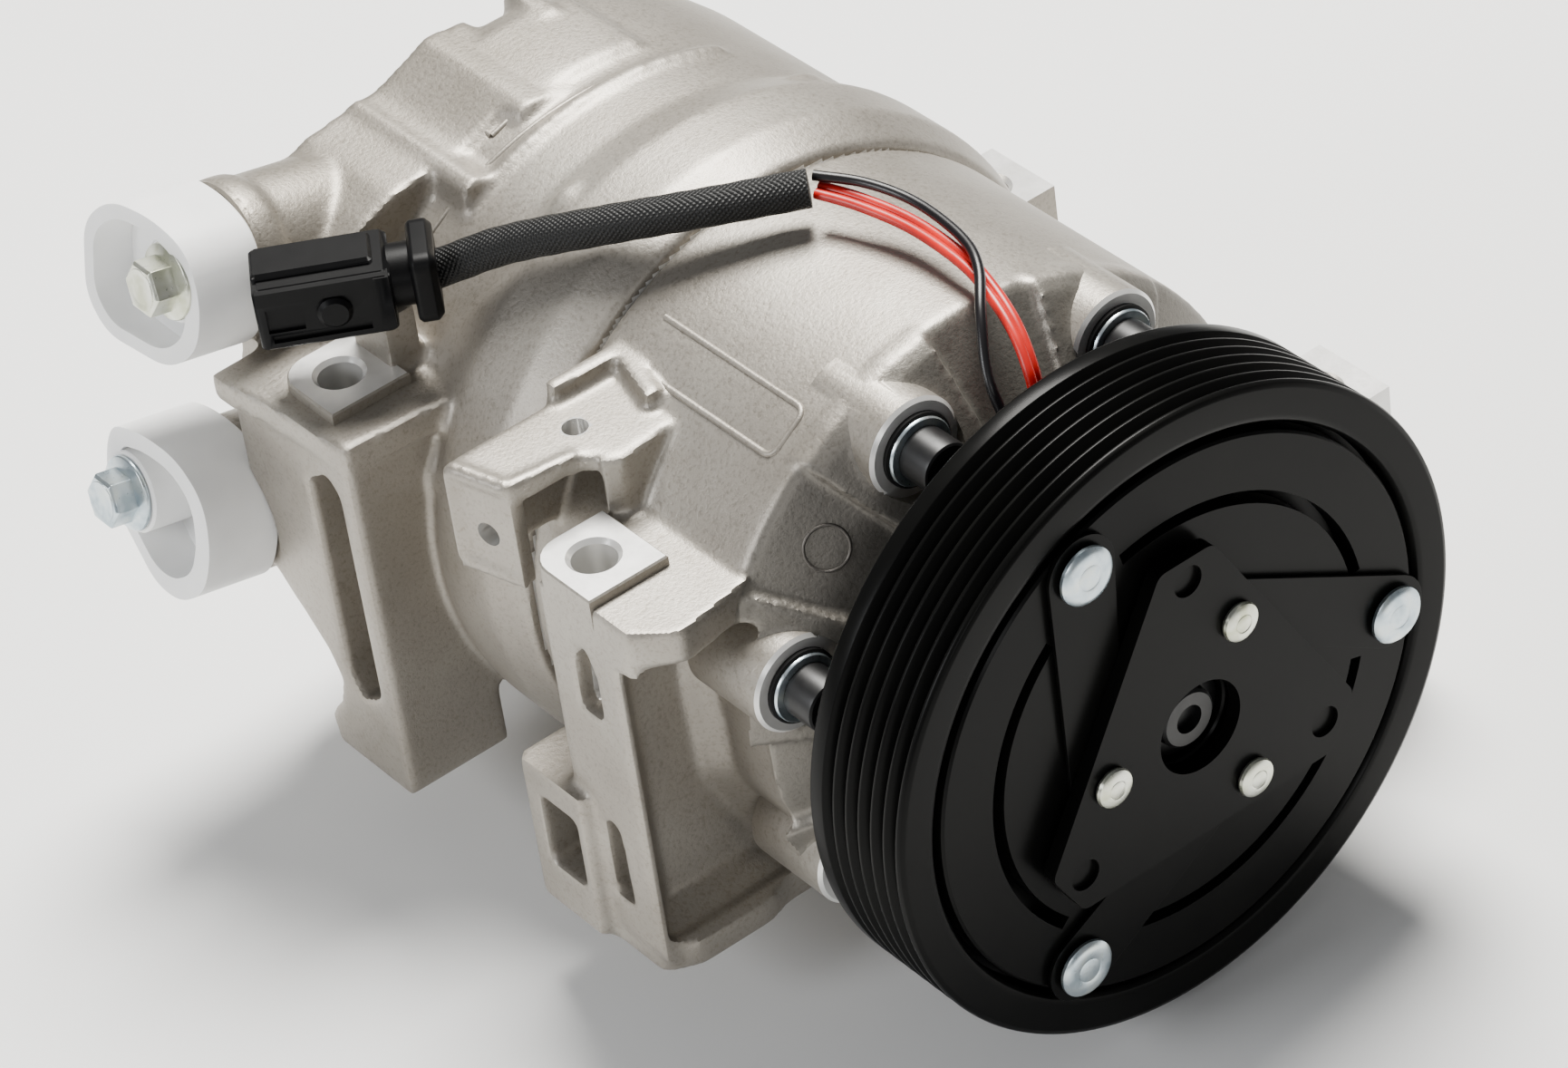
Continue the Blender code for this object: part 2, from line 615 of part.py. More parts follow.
def rivet_mesh(name, head_r, head_front, head_rear, shank_r, shank_rear):
    rivet = turned(name, [
        (0, head_front), (head_r - 0.8, head_front), (head_r, head_front + 0.6),
        (head_r, head_rear), (shank_r, head_rear), (shank_r, shank_rear), (0, shank_rear)],
        steps=12)
    return frozen(rivet)


def armature():
    """Friction disc with three curved flux slots and its spring rivets."""
    disc = ring("armature", ARMATURE_INNER_R, ARMATURE_R, 0, ARMATURE_THICK, BLACK, 36)
    slots = [arc_slot(f"flux_slot_{i}", a)
             for i, a in enumerate(spread(RIVET_ANGLE + 63, 3))]
    holes = [rod(f"armature_hole_{i}", RIVET_SHANK_R + GAP, polar(RIVET_CIRCLE, a, -3),
                 polar(RIVET_CIRCLE, a, ARMATURE_THICK + 3), sides=12)
             for i, a in enumerate(spread(RIVET_ANGLE, 3))]
    shape(disc, "DIFFERENCE", *slots, *holes)
    mesh = rivet_mesh("rivet_pattern", 6.0, -3.8, -2.0, RIVET_SHANK_R, ARMATURE_THICK - 0.5)
    for i, angle in enumerate(spread(RIVET_ANGLE, 3), 1):
        obj = add(f"armature_rivet_{i}", mesh, ZINC)
        obj.location = Vector(polar(RIVET_CIRCLE, angle)) * MM
        obj.rotation_euler = (math.pi / 2, 0, 0)


def stadium(first, first_r, second, second_r, steps=6):
    """Outline round two circles of unlike size."""
    (x0, z0), (x1, z1) = first, second
    heading = math.atan2(z1 - z0, x1 - x0)
    points = [(x0 + first_r * math.cos(t), z0 + first_r * math.sin(t))
              for t in (heading + math.pi / 2 + math.pi * i / steps for i in range(steps + 1))]
    points += [(x1 + second_r * math.cos(t), z1 + second_r * math.sin(t))
               for t in (heading - math.pi / 2 + math.pi * i / steps
                         for i in range(steps + 1))]
    return points


def leaf_springs():
    """Three flat springs from the hub's rivets to the armature's."""
    for i in range(3):
        outer = polar(RIVET_CIRCLE, RIVET_ANGLE + 120 * i)
        inner = polar(SMALL_RIVET_CIRCLE, SMALL_RIVET_ANGLE + 120 * i)
        leaf = slab(f"leaf_spring_{i + 1}", stadium(flat(outer), 7.6, flat(inner), 6.4),
                    LEAF_FRONT, LEAF_FRONT + LEAF_THICK, "Y", BLACK)
        holes = [rod(f"leaf_hole_{i}_{end}", radius + GAP, (x, LEAF_FRONT - 3, z),
                     (x, LEAF_FRONT + 4, z), sides=12)
                 for end, radius, (x, _, z) in (("outer", RIVET_SHANK_R, outer),
                                                ("inner", SMALL_RIVET_R, inner))]
        shape(leaf, "DIFFERENCE", *holes)


def hub():
    """Three-cornered plate, riveted to a splined hub on the shaft nose."""
    plate_rear = HUB_PLATE_FRONT + HUB_PLATE_THICK
    corners = [flat(polar(HUB_CORNER_R, a + side * HUB_CORNER_HALF))
               for a in spread(DIMPLE_ANGLE, 3) for side in (-1, 1)]
    plate = slab("hub_plate", corners, HUB_PLATE_FRONT, plate_rear, "Y", BLACK)
    holes = [rod(f"hub_plate_hole_{i}", SMALL_RIVET_R + GAP,
                 polar(SMALL_RIVET_CIRCLE, a, HUB_PLATE_FRONT - 3),
                 polar(SMALL_RIVET_CIRCLE, a, plate_rear + 9), sides=12)
             for i, a in enumerate(spread(SMALL_RIVET_ANGLE, 3))]
    centre = rod("hub_plate_centre", HUB_HOLE_R, (0, HUB_PLATE_FRONT - 3, 0),
                 (0, plate_rear + 0.1, 0), sides=24)
    dimples = [rod(f"dimple_{i}", 3.2, polar(DIMPLE_CIRCLE, a, HUB_PLATE_FRONT - 3),
                   polar(DIMPLE_CIRCLE, a, HUB_PLATE_FRONT + 1.2), sides=14)
               for i, a in enumerate(spread(DIMPLE_ANGLE, 3))]
    shape(plate, "DIFFERENCE", centre, *holes, *dimples)
    front = LEAF_FRONT + LEAF_THICK + GAP
    seat = SHAFT_FRONT - 0.5
    boss = turned("hub", [
        (HUB_HOLE_R, front), (HUB_FLANGE_R, front), (HUB_FLANGE_R, front + 2.4),
        (HUB_BOSS_R, front + 2.4), (HUB_BOSS_R, 16), (SPIGOT_R + GAP, 16),
        (SPIGOT_R + GAP, seat), (HUB_HOLE_R, seat)], BLACK)
    shape(boss, "DIFFERENCE", *holes)
    mesh = rivet_mesh("small_rivet_pattern", 4.1, HUB_PLATE_FRONT - 2.0,
                      HUB_PLATE_FRONT - GAP, SMALL_RIVET_R, front + 1.8)
    for i, angle in enumerate(spread(SMALL_RIVET_ANGLE, 3), 1):
        obj = add(f"hub_rivet_{i}", mesh, ZINC)
        obj.location = Vector(polar(SMALL_RIVET_CIRCLE, angle)) * MM
        obj.rotation_euler = (math.pi / 2, 0, 0)


# ---------------------------------------------------------------- shaft and drive

def shaft():
    nose = CLUTCH_BOLT_R + GAP
    turned("shaft", [
        (0, 18), (nose, 18), (nose, SHAFT_FRONT), (SPIGOT_R, SHAFT_FRONT), (SPIGOT_R, 16.5),
        (SHAFT_R, 17.5), (SHAFT_R, SHAFT_REAR), (0, SHAFT_REAR)], TURNED, 24)
    head = SHAFT_FRONT - 0.5 - GAP
    turned("clutch_bolt", [
        (0, head - 4), (5.8, head - 4), (6.4, head - 3.4), (6.4, head - 1.2), (9.2, head - 1.2),
        (9.2, head), (CLUTCH_BOLT_R, head), (CLUTCH_BOLT_R, 16.5), (0, 16.5)], BLACK, 18)
    ring("shaft_seal", SHAFT_R + GAP, SEAL_BORE_R - GAP, 19, 29, RUBBER, 24)
    ring("front_needle_bearing", SHAFT_R + GAP, NEEDLE_R, 31, 47, TURNED, 24)
    ring("rear_needle_bearing", SHAFT_R + GAP, NEEDLE_R, BLOCK_FRONT + 1, 128, TURNED, 24)
    ring("thrust_bearing", 14, 26, CAVITY_FRONT + GAP, CAVITY_FRONT + 1.6, TURNED)


def lug_plate():
    """Drive plate on the shaft, with two ears that guide the swash plate's pin."""
    front = CAVITY_FRONT + 1.6 + GAP
    plate = ring("lug_plate", SHAFT_R + GAP, LUG_PLATE_R, front, LUG_PLATE_REAR, TURNED, 32)
    ears = [block(f"lug_ear_{side}", (6 if side > 0 else -11, LUG_PLATE_REAR - 2, 16),
                  (11 if side > 0 else -6, LUG_PLATE_REAR + 7.5, 28)) for side in (-1, 1)]
    return shape(plate, "UNION", *ears)


def swash_plate():
    """Tilting plate; its arm and pin reach towards the lug plate's ears."""
    half = SWASH_THICK / 2
    plate = turned("swash_plate", [
        (13.6, -half), (SWASH_R, -half), (SWASH_R, half), (13.6, half)], TURNED, 36,
        at=(0, SWASH_Y, 0))
    arm = block("swash_arm", (-4, SWASH_Y - 14, 17), (4, SWASH_Y - 2, 23))
    pin = rod("swash_pin", 2.4, (-9, SWASH_Y - 12, 20), (9, SWASH_Y - 12, 20), sides=12)
    shape(plate, "UNION", arm, pin)
    ring("swash_sleeve", SHAFT_R + 0.35, 11.2, SWASH_Y - 6, SWASH_Y + 6, TURNED, 24)


def destroke_spring():
    """Coil spring between the lug plate and the sleeve, four turns of round wire."""
    turns, per_turn, radius, wire_r = 4, 10, 12.2, 1.1
    start, end = LUG_PLATE_REAR + wire_r + GAP, SWASH_Y - 6 - wire_r - GAP
    count = turns * per_turn
    route = []
    for i in range(count + 1):
        turn = math.tau * i / per_turn
        route.append((radius * math.cos(turn), start + (end - start) * i / count,
                      radius * math.sin(turn)))
    wire("destroke_spring", route, wire_r, TURNED, 2)


PISTON_ANGLES = spread(90 + 180 / PISTON_COUNT, PISTON_COUNT)


def pistons():
    """Seven pistons; each bridge straddles the rim of the swash plate."""
    front = SWASH_Y - POCKET_HALF - BRIDGE_WALL
    crank = SWASH_Y + POCKET_HALF
    web_in, web_out = SWASH_R + 1.2, CAVITY_R - 1.2
    skirt = rod("piston_pattern", PISTON_R, (0, crank + 3, PISTON_CIRCLE),
                (0, CROWN_Y, PISTON_CIRCLE), sides=20)
    shape(skirt, "UNION",
          block("piston_root", (-8, crank, 28), (8, crank + 4.5, web_out)),
          block("piston_web", (-7.9, front + 1, web_in), (7.9, crank + 1, web_out - 0.1)),
          block("piston_foot", (-8, front, 28), (8, front + BRIDGE_WALL, web_out)))
    base = skirt.matrix_basis.copy()
    mesh = frozen(skirt)
    mesh.transform(base)
    for i, angle in enumerate(PISTON_ANGLES, 1):
        obj = add(f"piston_{i}", mesh, ALLOY)
        obj.rotation_euler = (0, math.radians(90 - angle), 0)


# ---------------------------------------------------------------- harness

def smooth_route(knots, spacing):
    """Points along a Catmull-Rom curve through the knots, about one spacing apart."""
    knots = [Vector(k) for k in knots]
    padded = [2 * knots[0] - knots[1]] + knots + [2 * knots[-1] - knots[-2]]
    points = [knots[0]]
    for a, b, c, d in zip(padded, padded[1:], padded[2:], padded[3:]):
        steps = max(1, round((c - b).length / spacing))
        for i in range(1, steps + 1):
            t = i / steps
            points.append(0.5 * (2 * b + (c - a) * t + (2 * a - 5 * b + 4 * c - d) * t ** 2
                                 + (3 * b - a - 3 * c + d) * t ** 3))
    return points


def wire(name, route, radius, look, resolution=2):
    """A round wire along a route, as a closed tube."""
    curve = bpy.data.curves.new(name, "CURVE")
    curve.dimensions = "3D"
    curve.bevel_depth = radius * MM
    curve.bevel_resolution = resolution
    curve.use_fill_caps = True
    spline = curve.splines.new("POLY")
    spline.points.add(len(route) - 1)
    for point, place in zip(spline.points, route):
        point.co = (*(Vector(place) * MM), 1)
    return add(name, curve, look)


SLEEVE_ROUTE = [(-50.6, 146.6, 58.2), (-43, 137, 63.5), (-32, 122, 69.0), (-17, 107, 72.6),
                (-1, 95.5, 74.0)]
RED_ROUTE = [(0.3, 94.6, 73.4), (3.6, 86, 72.9), (6.2, 74, 72.2), (6.2, 60, 71.4),
             (4.6, 50, 70.0), (2.4, 41, 67.0), (0.4, 35, 62), (0, 33, 54.9)]
BLACK_ROUTE = [(0.6, 95.8, 76.0), (6.2, 87, 75.4), (9.2, 76, 74.6), (8.2, 62, 74.2),
               (4.0, 51, 73.4), (-1.4, 43, 69.6), (-4.2, 36, 62), (-4.6, 33, 54.9)]


def harness():
    """Connector, braided sleeve and the three wires that reach the coil."""
    length, width, height = CONNECTOR_SIZE
    start, onward = Vector(SLEEVE_ROUTE[0]), Vector(SLEEVE_ROUTE[1])
    heading = math.atan2(17.0, -27.0)
    mesh = bpy.data.meshes.new("connector")
    bm = bmesh.new()
    bmesh.ops.create_cube(bm, size=1, matrix=Matrix.Diagonal(
        (length * MM, width * MM, height * MM, 1)))
    bm.to_mesh(mesh)
    bm.free()
    body = add("connector", mesh, PLASTIC)
    away = Vector((math.cos(heading), math.sin(heading), 0))
    centre = start + away * (length / 2 + 2.2)
    centre.z = 50.1 + height / 2
    body.location = centre * MM
    body.rotation_euler = (0, 0, heading)
    wire("harness_sleeve", smooth_route(SLEEVE_ROUTE, 8), SLEEVE_R, BRAID)
    side = Vector((1.45, 0.85, 0))
    for name, shift in (("red_wire_1", -side), ("red_wire_2", side)):
        wire(name, smooth_route([Vector(k) + shift for k in RED_ROUTE], 5), WIRE_R, RED)
    wire("black_wire", smooth_route(BLACK_ROUTE, 5), WIRE_R, RUBBER)


def set_down():
    """Move the frame so that the origin is at the bottom centre of the whole part."""
    bpy.context.view_layer.update()
    depsgraph = bpy.context.evaluated_depsgraph_get()
    low, high = Vector((1e9,) * 3), Vector((-1e9,) * 3)
    for obj in PARTS.objects:
        if obj.type not in {"MESH", "CURVE"}:
            continue
        solid = obj.evaluated_get(depsgraph)
        mesh = solid.to_mesh()
        for vertex in mesh.vertices:
            place = solid.matrix_world @ vertex.co
            low = Vector(map(min, low, place))
            high = Vector(map(max, high, place))
        solid.to_mesh_clear()
    FRAME.location -= Vector(((low.x + high.x) / 2, (low.y + high.y) / 2, low.z))


def main():
    front_housing()
    rear_housing()
    cylinder_block()
    valve_stack()
    body_o_ring()
    through_bolts()
    port_caps()
    rear_valves()
    pulley()
    clutch_bearing()
    coil()
    armature()
    leaf_springs()
    hub()
    shaft()
    lug_plate()
    swash_plate()
    destroke_spring()
    pistons()
    harness()
    set_down()


main()
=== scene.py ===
"""Automotive air-conditioning compressor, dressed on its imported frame.

Lengths are millimetres from the shaft axis and the pulley's front rim plane: +X to the
right seen from the pulley, +Y rearwards along the shaft, +Z up along the lug bores.
"""

from math import atan2, cos, hypot, pi, radians, sin, tau

import bmesh
import bpy
from mathutils import Matrix, Vector


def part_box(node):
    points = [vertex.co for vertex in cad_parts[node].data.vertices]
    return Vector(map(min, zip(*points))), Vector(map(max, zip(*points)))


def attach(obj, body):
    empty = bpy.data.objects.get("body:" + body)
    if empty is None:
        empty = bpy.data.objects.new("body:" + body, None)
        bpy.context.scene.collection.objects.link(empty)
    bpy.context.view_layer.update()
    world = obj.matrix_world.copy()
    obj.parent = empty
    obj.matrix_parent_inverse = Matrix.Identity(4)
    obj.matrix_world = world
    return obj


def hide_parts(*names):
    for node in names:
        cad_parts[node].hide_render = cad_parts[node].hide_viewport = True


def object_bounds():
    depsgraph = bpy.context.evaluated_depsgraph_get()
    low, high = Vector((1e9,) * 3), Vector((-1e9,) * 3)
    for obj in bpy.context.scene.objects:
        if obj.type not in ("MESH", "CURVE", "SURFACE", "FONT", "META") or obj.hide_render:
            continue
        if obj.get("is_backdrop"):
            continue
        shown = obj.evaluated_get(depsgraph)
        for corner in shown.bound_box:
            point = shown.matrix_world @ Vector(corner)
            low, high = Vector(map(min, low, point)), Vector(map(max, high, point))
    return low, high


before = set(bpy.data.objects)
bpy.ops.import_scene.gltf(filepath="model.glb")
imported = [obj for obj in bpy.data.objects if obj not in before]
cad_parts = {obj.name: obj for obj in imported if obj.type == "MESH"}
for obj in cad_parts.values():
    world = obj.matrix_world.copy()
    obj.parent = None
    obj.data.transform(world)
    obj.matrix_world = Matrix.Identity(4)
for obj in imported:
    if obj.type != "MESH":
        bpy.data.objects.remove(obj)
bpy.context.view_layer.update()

MM = 0.001
low, high = (Vector(corner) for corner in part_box("pulley"))
AXIS = Vector(((low.x + high.x) / 2, low.y, (low.z + high.z) / 2))

# Rings of equal pieces: how many, and the first one's angle in degrees.
BOLTS, BOLT_CIRCLE, BOLT_SEAT = (7, 9.6), 56.1, 43.4
RIVETS, RIVET_CIRCLE = (3, -6.3), 51.5
HUB_RIVETS, HUB_RIVET_CIRCLE = (3, 60.7), 22.0
PLATE_CORNERS = (-30.4, 89.6, 209.6)
CAVITY_R = 50.8
PAD_Z = 37.8
FOOT_Z = -53.0
FAR_LUG_X = 84.0
# Each lug bore: x, y and the height of its machined top.
LUG_BORES = ((-72.0, 77.6, PAD_Z), (-72.0, 159.0, PAD_Z), (FAR_LUG_X, 54.0, 0.0),
    (FAR_LUG_X, 154.5, 0.0))
SPLIT_Y = 112.6
PORT_TILT = 12.0
PORT_Y = 192.0
UPPER_PORT = (84.0, 33.0)
LOWER_PORT = (80.5, -21.0)
UPPER_DUCT, UPPER_BOLT, UPPER_SEAT = (-5.5, -3.5), (6.6, 3.6), 17.0
LOWER_DUCT, LOWER_BOLT, LOWER_SEAT = (6.2, -3.0), (-8.5, 2.7), 19.0


# ---------------------------------------------------------------- materials

def linear(code):
    """An sRGB hex colour as linear red, green, blue and alpha."""
    values = [int(code[i:i + 2], 16) / 255 for i in (0, 2, 4)]
    return [v / 12.92 if v <= 0.04045 else ((v + 0.055) / 1.055) ** 2.4 for v in values] + [1.0]


def add_node(tree, kind, links=None, **settings):
    """Add a node; settings are its properties or, failing those, its input values."""
    node = tree.nodes.new(kind)
    for key, value in settings.items():
        if hasattr(node, key):
            setattr(node, key, value)
        else:
            node.inputs[key.replace("_", " ")].default_value = value
    for key, source in (links or {}).items():
        tree.links.new(source, node.inputs[key])
    return node


def shaded(name, colour, roughness, metallic=0.0, **sockets):
    """A material with one Principled shader; returns it with its tree and shader."""
    material = bpy.data.materials.new(name)
    material.use_nodes = True
    tree = material.node_tree
    shader = tree.nodes["Principled BSDF"]
    shader.inputs["Base Color"].default_value = linear(colour)
    shader.inputs["Roughness"].default_value = roughness
    shader.inputs["Metallic"].default_value = metallic
    for key, value in sockets.items():
        shader.inputs[key.replace("_", " ")].default_value = value
    return material, tree, shader


def ramp(tree, source, *stops):
    """Colour ramp over (position, hex) stops."""
    node = add_node(tree, "ShaderNodeValToRGB", {"Fac": source})
    bar = node.color_ramp.elements
    while len(bar) < len(stops):
        bar.new(0.5)
    for element, (place, code) in zip(bar, stops):
        element.position = place
        element.color = linear(code)
    return node.outputs["Color"]


def span(tree, source, low_value, high_value, start=0.0, end=1.0):
    return add_node(tree, "ShaderNodeMapRange", {"Value": source}, From_Min=start,
        From_Max=end, To_Min=low_value, To_Max=high_value).outputs["Result"]


def grain(tree, size, detail=3.0, rough=0.6):
    """Noise on object coordinates with grains of about that size in millimetres."""
    place = add_node(tree, "ShaderNodeTexCoord").outputs["Object"]
    return add_node(tree, "ShaderNodeTexNoise", {"Vector": place}, Scale=1000 / size,
        Detail=detail, Roughness=rough).outputs["Fac"]


def coloured(tree, shader, source):
    """Drive the base colour."""
    tree.links.new(source, shader.inputs["Base Color"])


def roughened(tree, shader, source):
    """Drive the roughness."""
    tree.links.new(source, shader.inputs["Roughness"])


def waves(tree, direction, scale, distortion=0.0):
    """Stripes across a direction on object coordinates."""
    place = add_node(tree, "ShaderNodeTexCoord").outputs["Object"]
    return add_node(tree, "ShaderNodeTexWave", {"Vector": place}, bands_direction=direction,
        Scale=scale, Distortion=distortion).outputs["Fac"]


def bumped(tree, shader, height, depth, strength=1.0):
    """Bump of that depth in millimetres."""
    bump = add_node(tree, "ShaderNodeBump", {"Height": height}, Strength=strength,
        Distance=depth * MM)
    tree.links.new(bump.outputs["Normal"], shader.inputs["Normal"])


def cast_aluminium(name="bead_blasted_cast_aluminium", tones=("8E887E", "9C968D", "AAA59C"),
        cone=False):
    """Die-cast aluminium, bead blasted: a warm pale grey skin with a fine sparkling
    grain, cloudier where the metal flowed, never mirror-like. With cone set, the cone behind
    the pulley gets painted shade: darker tones on its forward-facing faces near the rim."""
    material, tree, shader = shaded(name, "B9B4AC", 0.5, 0.7)
    cloud = grain(tree, 38, 4, 0.55)
    tone = ramp(tree, cloud, (0.3, tones[0]), (0.5, tones[1]), (0.72, tones[2]))
    if cone:
        # Painted shade: faces ahead of y 55 mm, inside radius 67 mm and turned forwards get
        # darker tones, standing for the shade the light from above and behind leaves on the cone.
        shape = add_node(tree, "ShaderNodeNewGeometry")
        place = add_node(tree, "ShaderNodeSeparateXYZ", {"Vector": shape.outputs["Position"]})
        facing = add_node(tree, "ShaderNodeSeparateXYZ", {"Vector": shape.outputs["Normal"]})
        forward = span(tree, place.outputs["Y"], 1.0, 0.0, AXIS.y + 54.9 * MM,
            AXIS.y + 56.2 * MM)
        sloped = span(tree, facing.outputs["Y"], 1.0, 0.0, -0.5, -0.3)
        painted_shade_mask = add_node(tree, "ShaderNodeMath", {0: forward, 1: sloped}, operation="MULTIPLY")
        centred = add_node(tree, "ShaderNodeVectorMath", {0: shape.outputs["Position"]},
            operation="SUBTRACT")
        centred.inputs[1].default_value = AXIS
        across = add_node(tree, "ShaderNodeVectorMath", {0: centred.outputs[0]},
            operation="MULTIPLY")
        across.inputs[1].default_value = (1.0, 0.0, 1.0)
        radius = add_node(tree, "ShaderNodeVectorMath", {0: across.outputs[0]},
            operation="LENGTH")
        near = span(tree, radius.outputs["Value"], 1.0, 0.0, 66.4 * MM, 67.2 * MM)
        painted_shade_mask = add_node(tree, "ShaderNodeMath", {0: painted_shade_mask.outputs[0], 1: near},
            operation="MULTIPLY")
        dark = ramp(tree, cloud, (0.3, "74706A"), (0.5, "7E7A73"), (0.72, "88847C"))
        joined = add_node(tree, "ShaderNodeMix", {"Factor": painted_shade_mask.outputs[0]}, data_type="RGBA")
        tree.links.new(tone, joined.inputs["A"])
        tree.links.new(dark, joined.inputs["B"])
        tone = joined.outputs["Result"]
    fine = grain(tree, 0.9, 3, 0.7)
    speck = ramp(tree, fine, (0.3, "BDB9B2"), (0.5, "FFFFFF"), (0.75, "FFFFFF"))
    mixed = add_node(tree, "ShaderNodeMix", data_type="RGBA", blend_type="MULTIPLY")
    mixed.inputs["Factor"].default_value = 0.5
    tree.links.new(tone, mixed.inputs["A"])
    tree.links.new(speck, mixed.inputs["B"])
    coloured(tree, shader, mixed.outputs["Result"])
    roughened(tree, shader, span(tree, fine, 0.38, 0.54))
    bumped(tree, shader, fine, 0.14, 0.7)
    return material


def machined_aluminium():
    """Milled aluminium: bright, pale and satin, with a fine cloudy cutter finish."""
    material, tree, shader = shaded("milled_aluminium", "E4E3E0", 0.34, 0.55)
    marks = grain(tree, 0.6, 2)
    roughened(tree, shader, span(tree, marks, 0.28, 0.4))
    coloured(tree, shader, ramp(tree, grain(tree, 9, 2), (0.35, "DBDAD7"), (0.65, "ECEBE9")))
    bumped(tree, shader, marks, 0.01, 0.4)
    return material


def bored_aluminium():
    """Reamed aluminium: a bright bore wall with rings along it."""
    material, tree, shader = shaded("reamed_aluminium", "E2E1DE", 0.24, 0.6)
    marks = waves(tree, "Z", 420.0, 0.4)
    bumped(tree, shader, marks, 0.01, 0.4)
    return material


def turned_steel():
    """Turned and ground steel: grey, satin, with fine rings round the shaft."""
    material, tree, shader = shaded("turned_steel", "B4B6B8", 0.3, 1.0)
    marks = waves(tree, "Y", 300.0, 0.6)
    roughened(tree, shader, span(tree, marks, 0.26, 0.36))
    return material


def black_coat():
    """Electrocoated steel: near-black satin film with slight orange peel."""
    material, tree, shader = shaded("black_electrocoat", "0E0E0E", 0.3, 0.0)
    shader.inputs["Specular IOR Level"].default_value = 0.07
    cloud = grain(tree, 26, 3)
    coloured(tree, shader, ramp(tree, cloud, (0.35, "090909"), (0.7, "0E0E0D")))
    peel = grain(tree, 0.5, 2)
    roughened(tree, shader, span(tree, cloud, 0.25, 0.34))
    bumped(tree, shader, peel, 0.01, 0.4)
    return material


def oxide_steel():
    """Black-oxide screw steel: dark, dry and slightly glossy on the edges."""
    material, tree, shader = shaded("black_oxide_steel", "0B0B0C", 0.42, 0.1)
    roughened(tree, shader, span(tree, grain(tree, 2.0), 0.36, 0.5))
    return material


def zinc(name="blue_zinc", tints=("A3B3BC", "C3CFD5", "D0D8D6")):
    """Passivated zinc plate: pale metal with a cold tint that drifts to straw."""
    material, tree, shader = shaded(name, "CBD6DA", 0.28, 0.9)
    cloud = grain(tree, 5.0, 2)
    coloured(tree, shader, ramp(tree, cloud, (0.34, tints[0]), (0.5, tints[1]), (0.68, tints[2])))
    roughened(tree, shader, span(tree, grain(tree, 0.7), 0.22, 0.38))
    return material


def polyethylene():
    """Moulded polyethylene: milky, waxy white that lets some light in."""
    material, tree, shader = shaded("moulded_polyethylene", "F2F2F1", 0.42, 0.0,
        Subsurface_Weight=0.15, Subsurface_Scale=0.002, IOR=1.5)
    shader.inputs["Subsurface Radius"].default_value = (1.0, 1.0, 1.1)
    cloud = grain(tree, 14, 2)
    coloured(tree, shader, ramp(tree, cloud, (0.3, "ECECEB"), (0.7, "F5F5F4")))
    bumped(tree, shader, grain(tree, 1.2, 2), 0.02, 0.4)
    return material


def black_nylon():
    """Glass-filled nylon: black, softly matt, with spark-eroded texture."""
    material, tree, shader = shaded("moulded_black_nylon", "080809", 0.46, 0.0, IOR=1.36)
    shader.inputs["Specular IOR Level"].default_value = 0.2
    fine = grain(tree, 0.4, 2)
    roughened(tree, shader, span(tree, grain(tree, 6), 0.36, 0.52))
    bumped(tree, shader, fine, 0.03, 0.5)
    return material


def rubber():
    """Moulded nitrile rubber: deep matt black."""
    material, tree, shader = shaded("nitrile_rubber", "0A0A0A", 0.7, 0.0, IOR=1.3)
    bumped(tree, shader, grain(tree, 0.8, 2), 0.02, 0.5)
    return material


def woven_sleeve():
    """Braided polyester sleeve: crossing black strands about 1 mm wide, on the piece's
    own map, whose U goes round and V along it."""
    material, tree, shader = shaded("braided_polyester", "0C0C0C", 0.5, 0.0, IOR=1.4)
    around = add_node(tree, "ShaderNodeUVMap").outputs["UV"]
    parts = add_node(tree, "ShaderNodeSeparateXYZ", {"Vector": around})
    lifts = []
    for sign in (1, -1):
        turn = add_node(tree, "ShaderNodeMath", {0: parts.outputs["X"]}, operation="MULTIPLY")
        turn.inputs[1].default_value = 22.0 * sign
        run = add_node(tree, "ShaderNodeMath", {0: parts.outputs["Y"]}, operation="MULTIPLY")
        run.inputs[1].default_value = 0.85
        total = add_node(tree, "ShaderNodeMath", {0: turn.outputs[0], 1: run.outputs[0]},
            operation="ADD")
        wave = add_node(tree, "ShaderNodeMath", {0: total.outputs[0]}, operation="PINGPONG")
        wave.inputs[1].default_value = 0.5
        lifts.append(wave.outputs[0])
    weave = add_node(tree, "ShaderNodeMath", {0: lifts[0], 1: lifts[1]}, operation="MULTIPLY")
    # Painted shade: the colour ramp darkens the grooves between strands and is lightest on the
    # strand middles.
    coloured(tree, shader, ramp(tree, weave.outputs[0], (0.0, "050505"), (0.12, "0F0F0F"),
        (0.24, "1E1E1F")))
    bumped(tree, shader, weave.outputs[0], 0.9, 1.0)
    return material


def insulation(name, dark, light):
    """Extruded PVC wire insulation: smooth and softly glossy."""
    material, tree, shader = shaded(name, light, 0.34, 0.0, IOR=1.5)
    coloured(tree, shader, ramp(tree, grain(tree, 8, 2), (0.35, dark), (0.65, light)))
    return material


def winding():
    """Enamelled copper under resin: dark amber turns about 0.7 mm apart."""
    material, tree, shader = shaded("potted_copper", "6E351B", 0.35, 0.3)
    turns = waves(tree, "Y", 230.0)
    coloured(tree, shader, ramp(tree, turns, (0.2, "4A2413"), (0.8, "8A4A26")))
    return material


def floor_paper():
    """Seamless matt studio paper, off-white with a very faint fibre."""
    material, tree, shader = shaded("studio_paper", "F4F4F3", 0.9, 0.0)
    bumped(tree, shader, grain(tree, 3.0, 2), 0.02, 0.3)
    return material


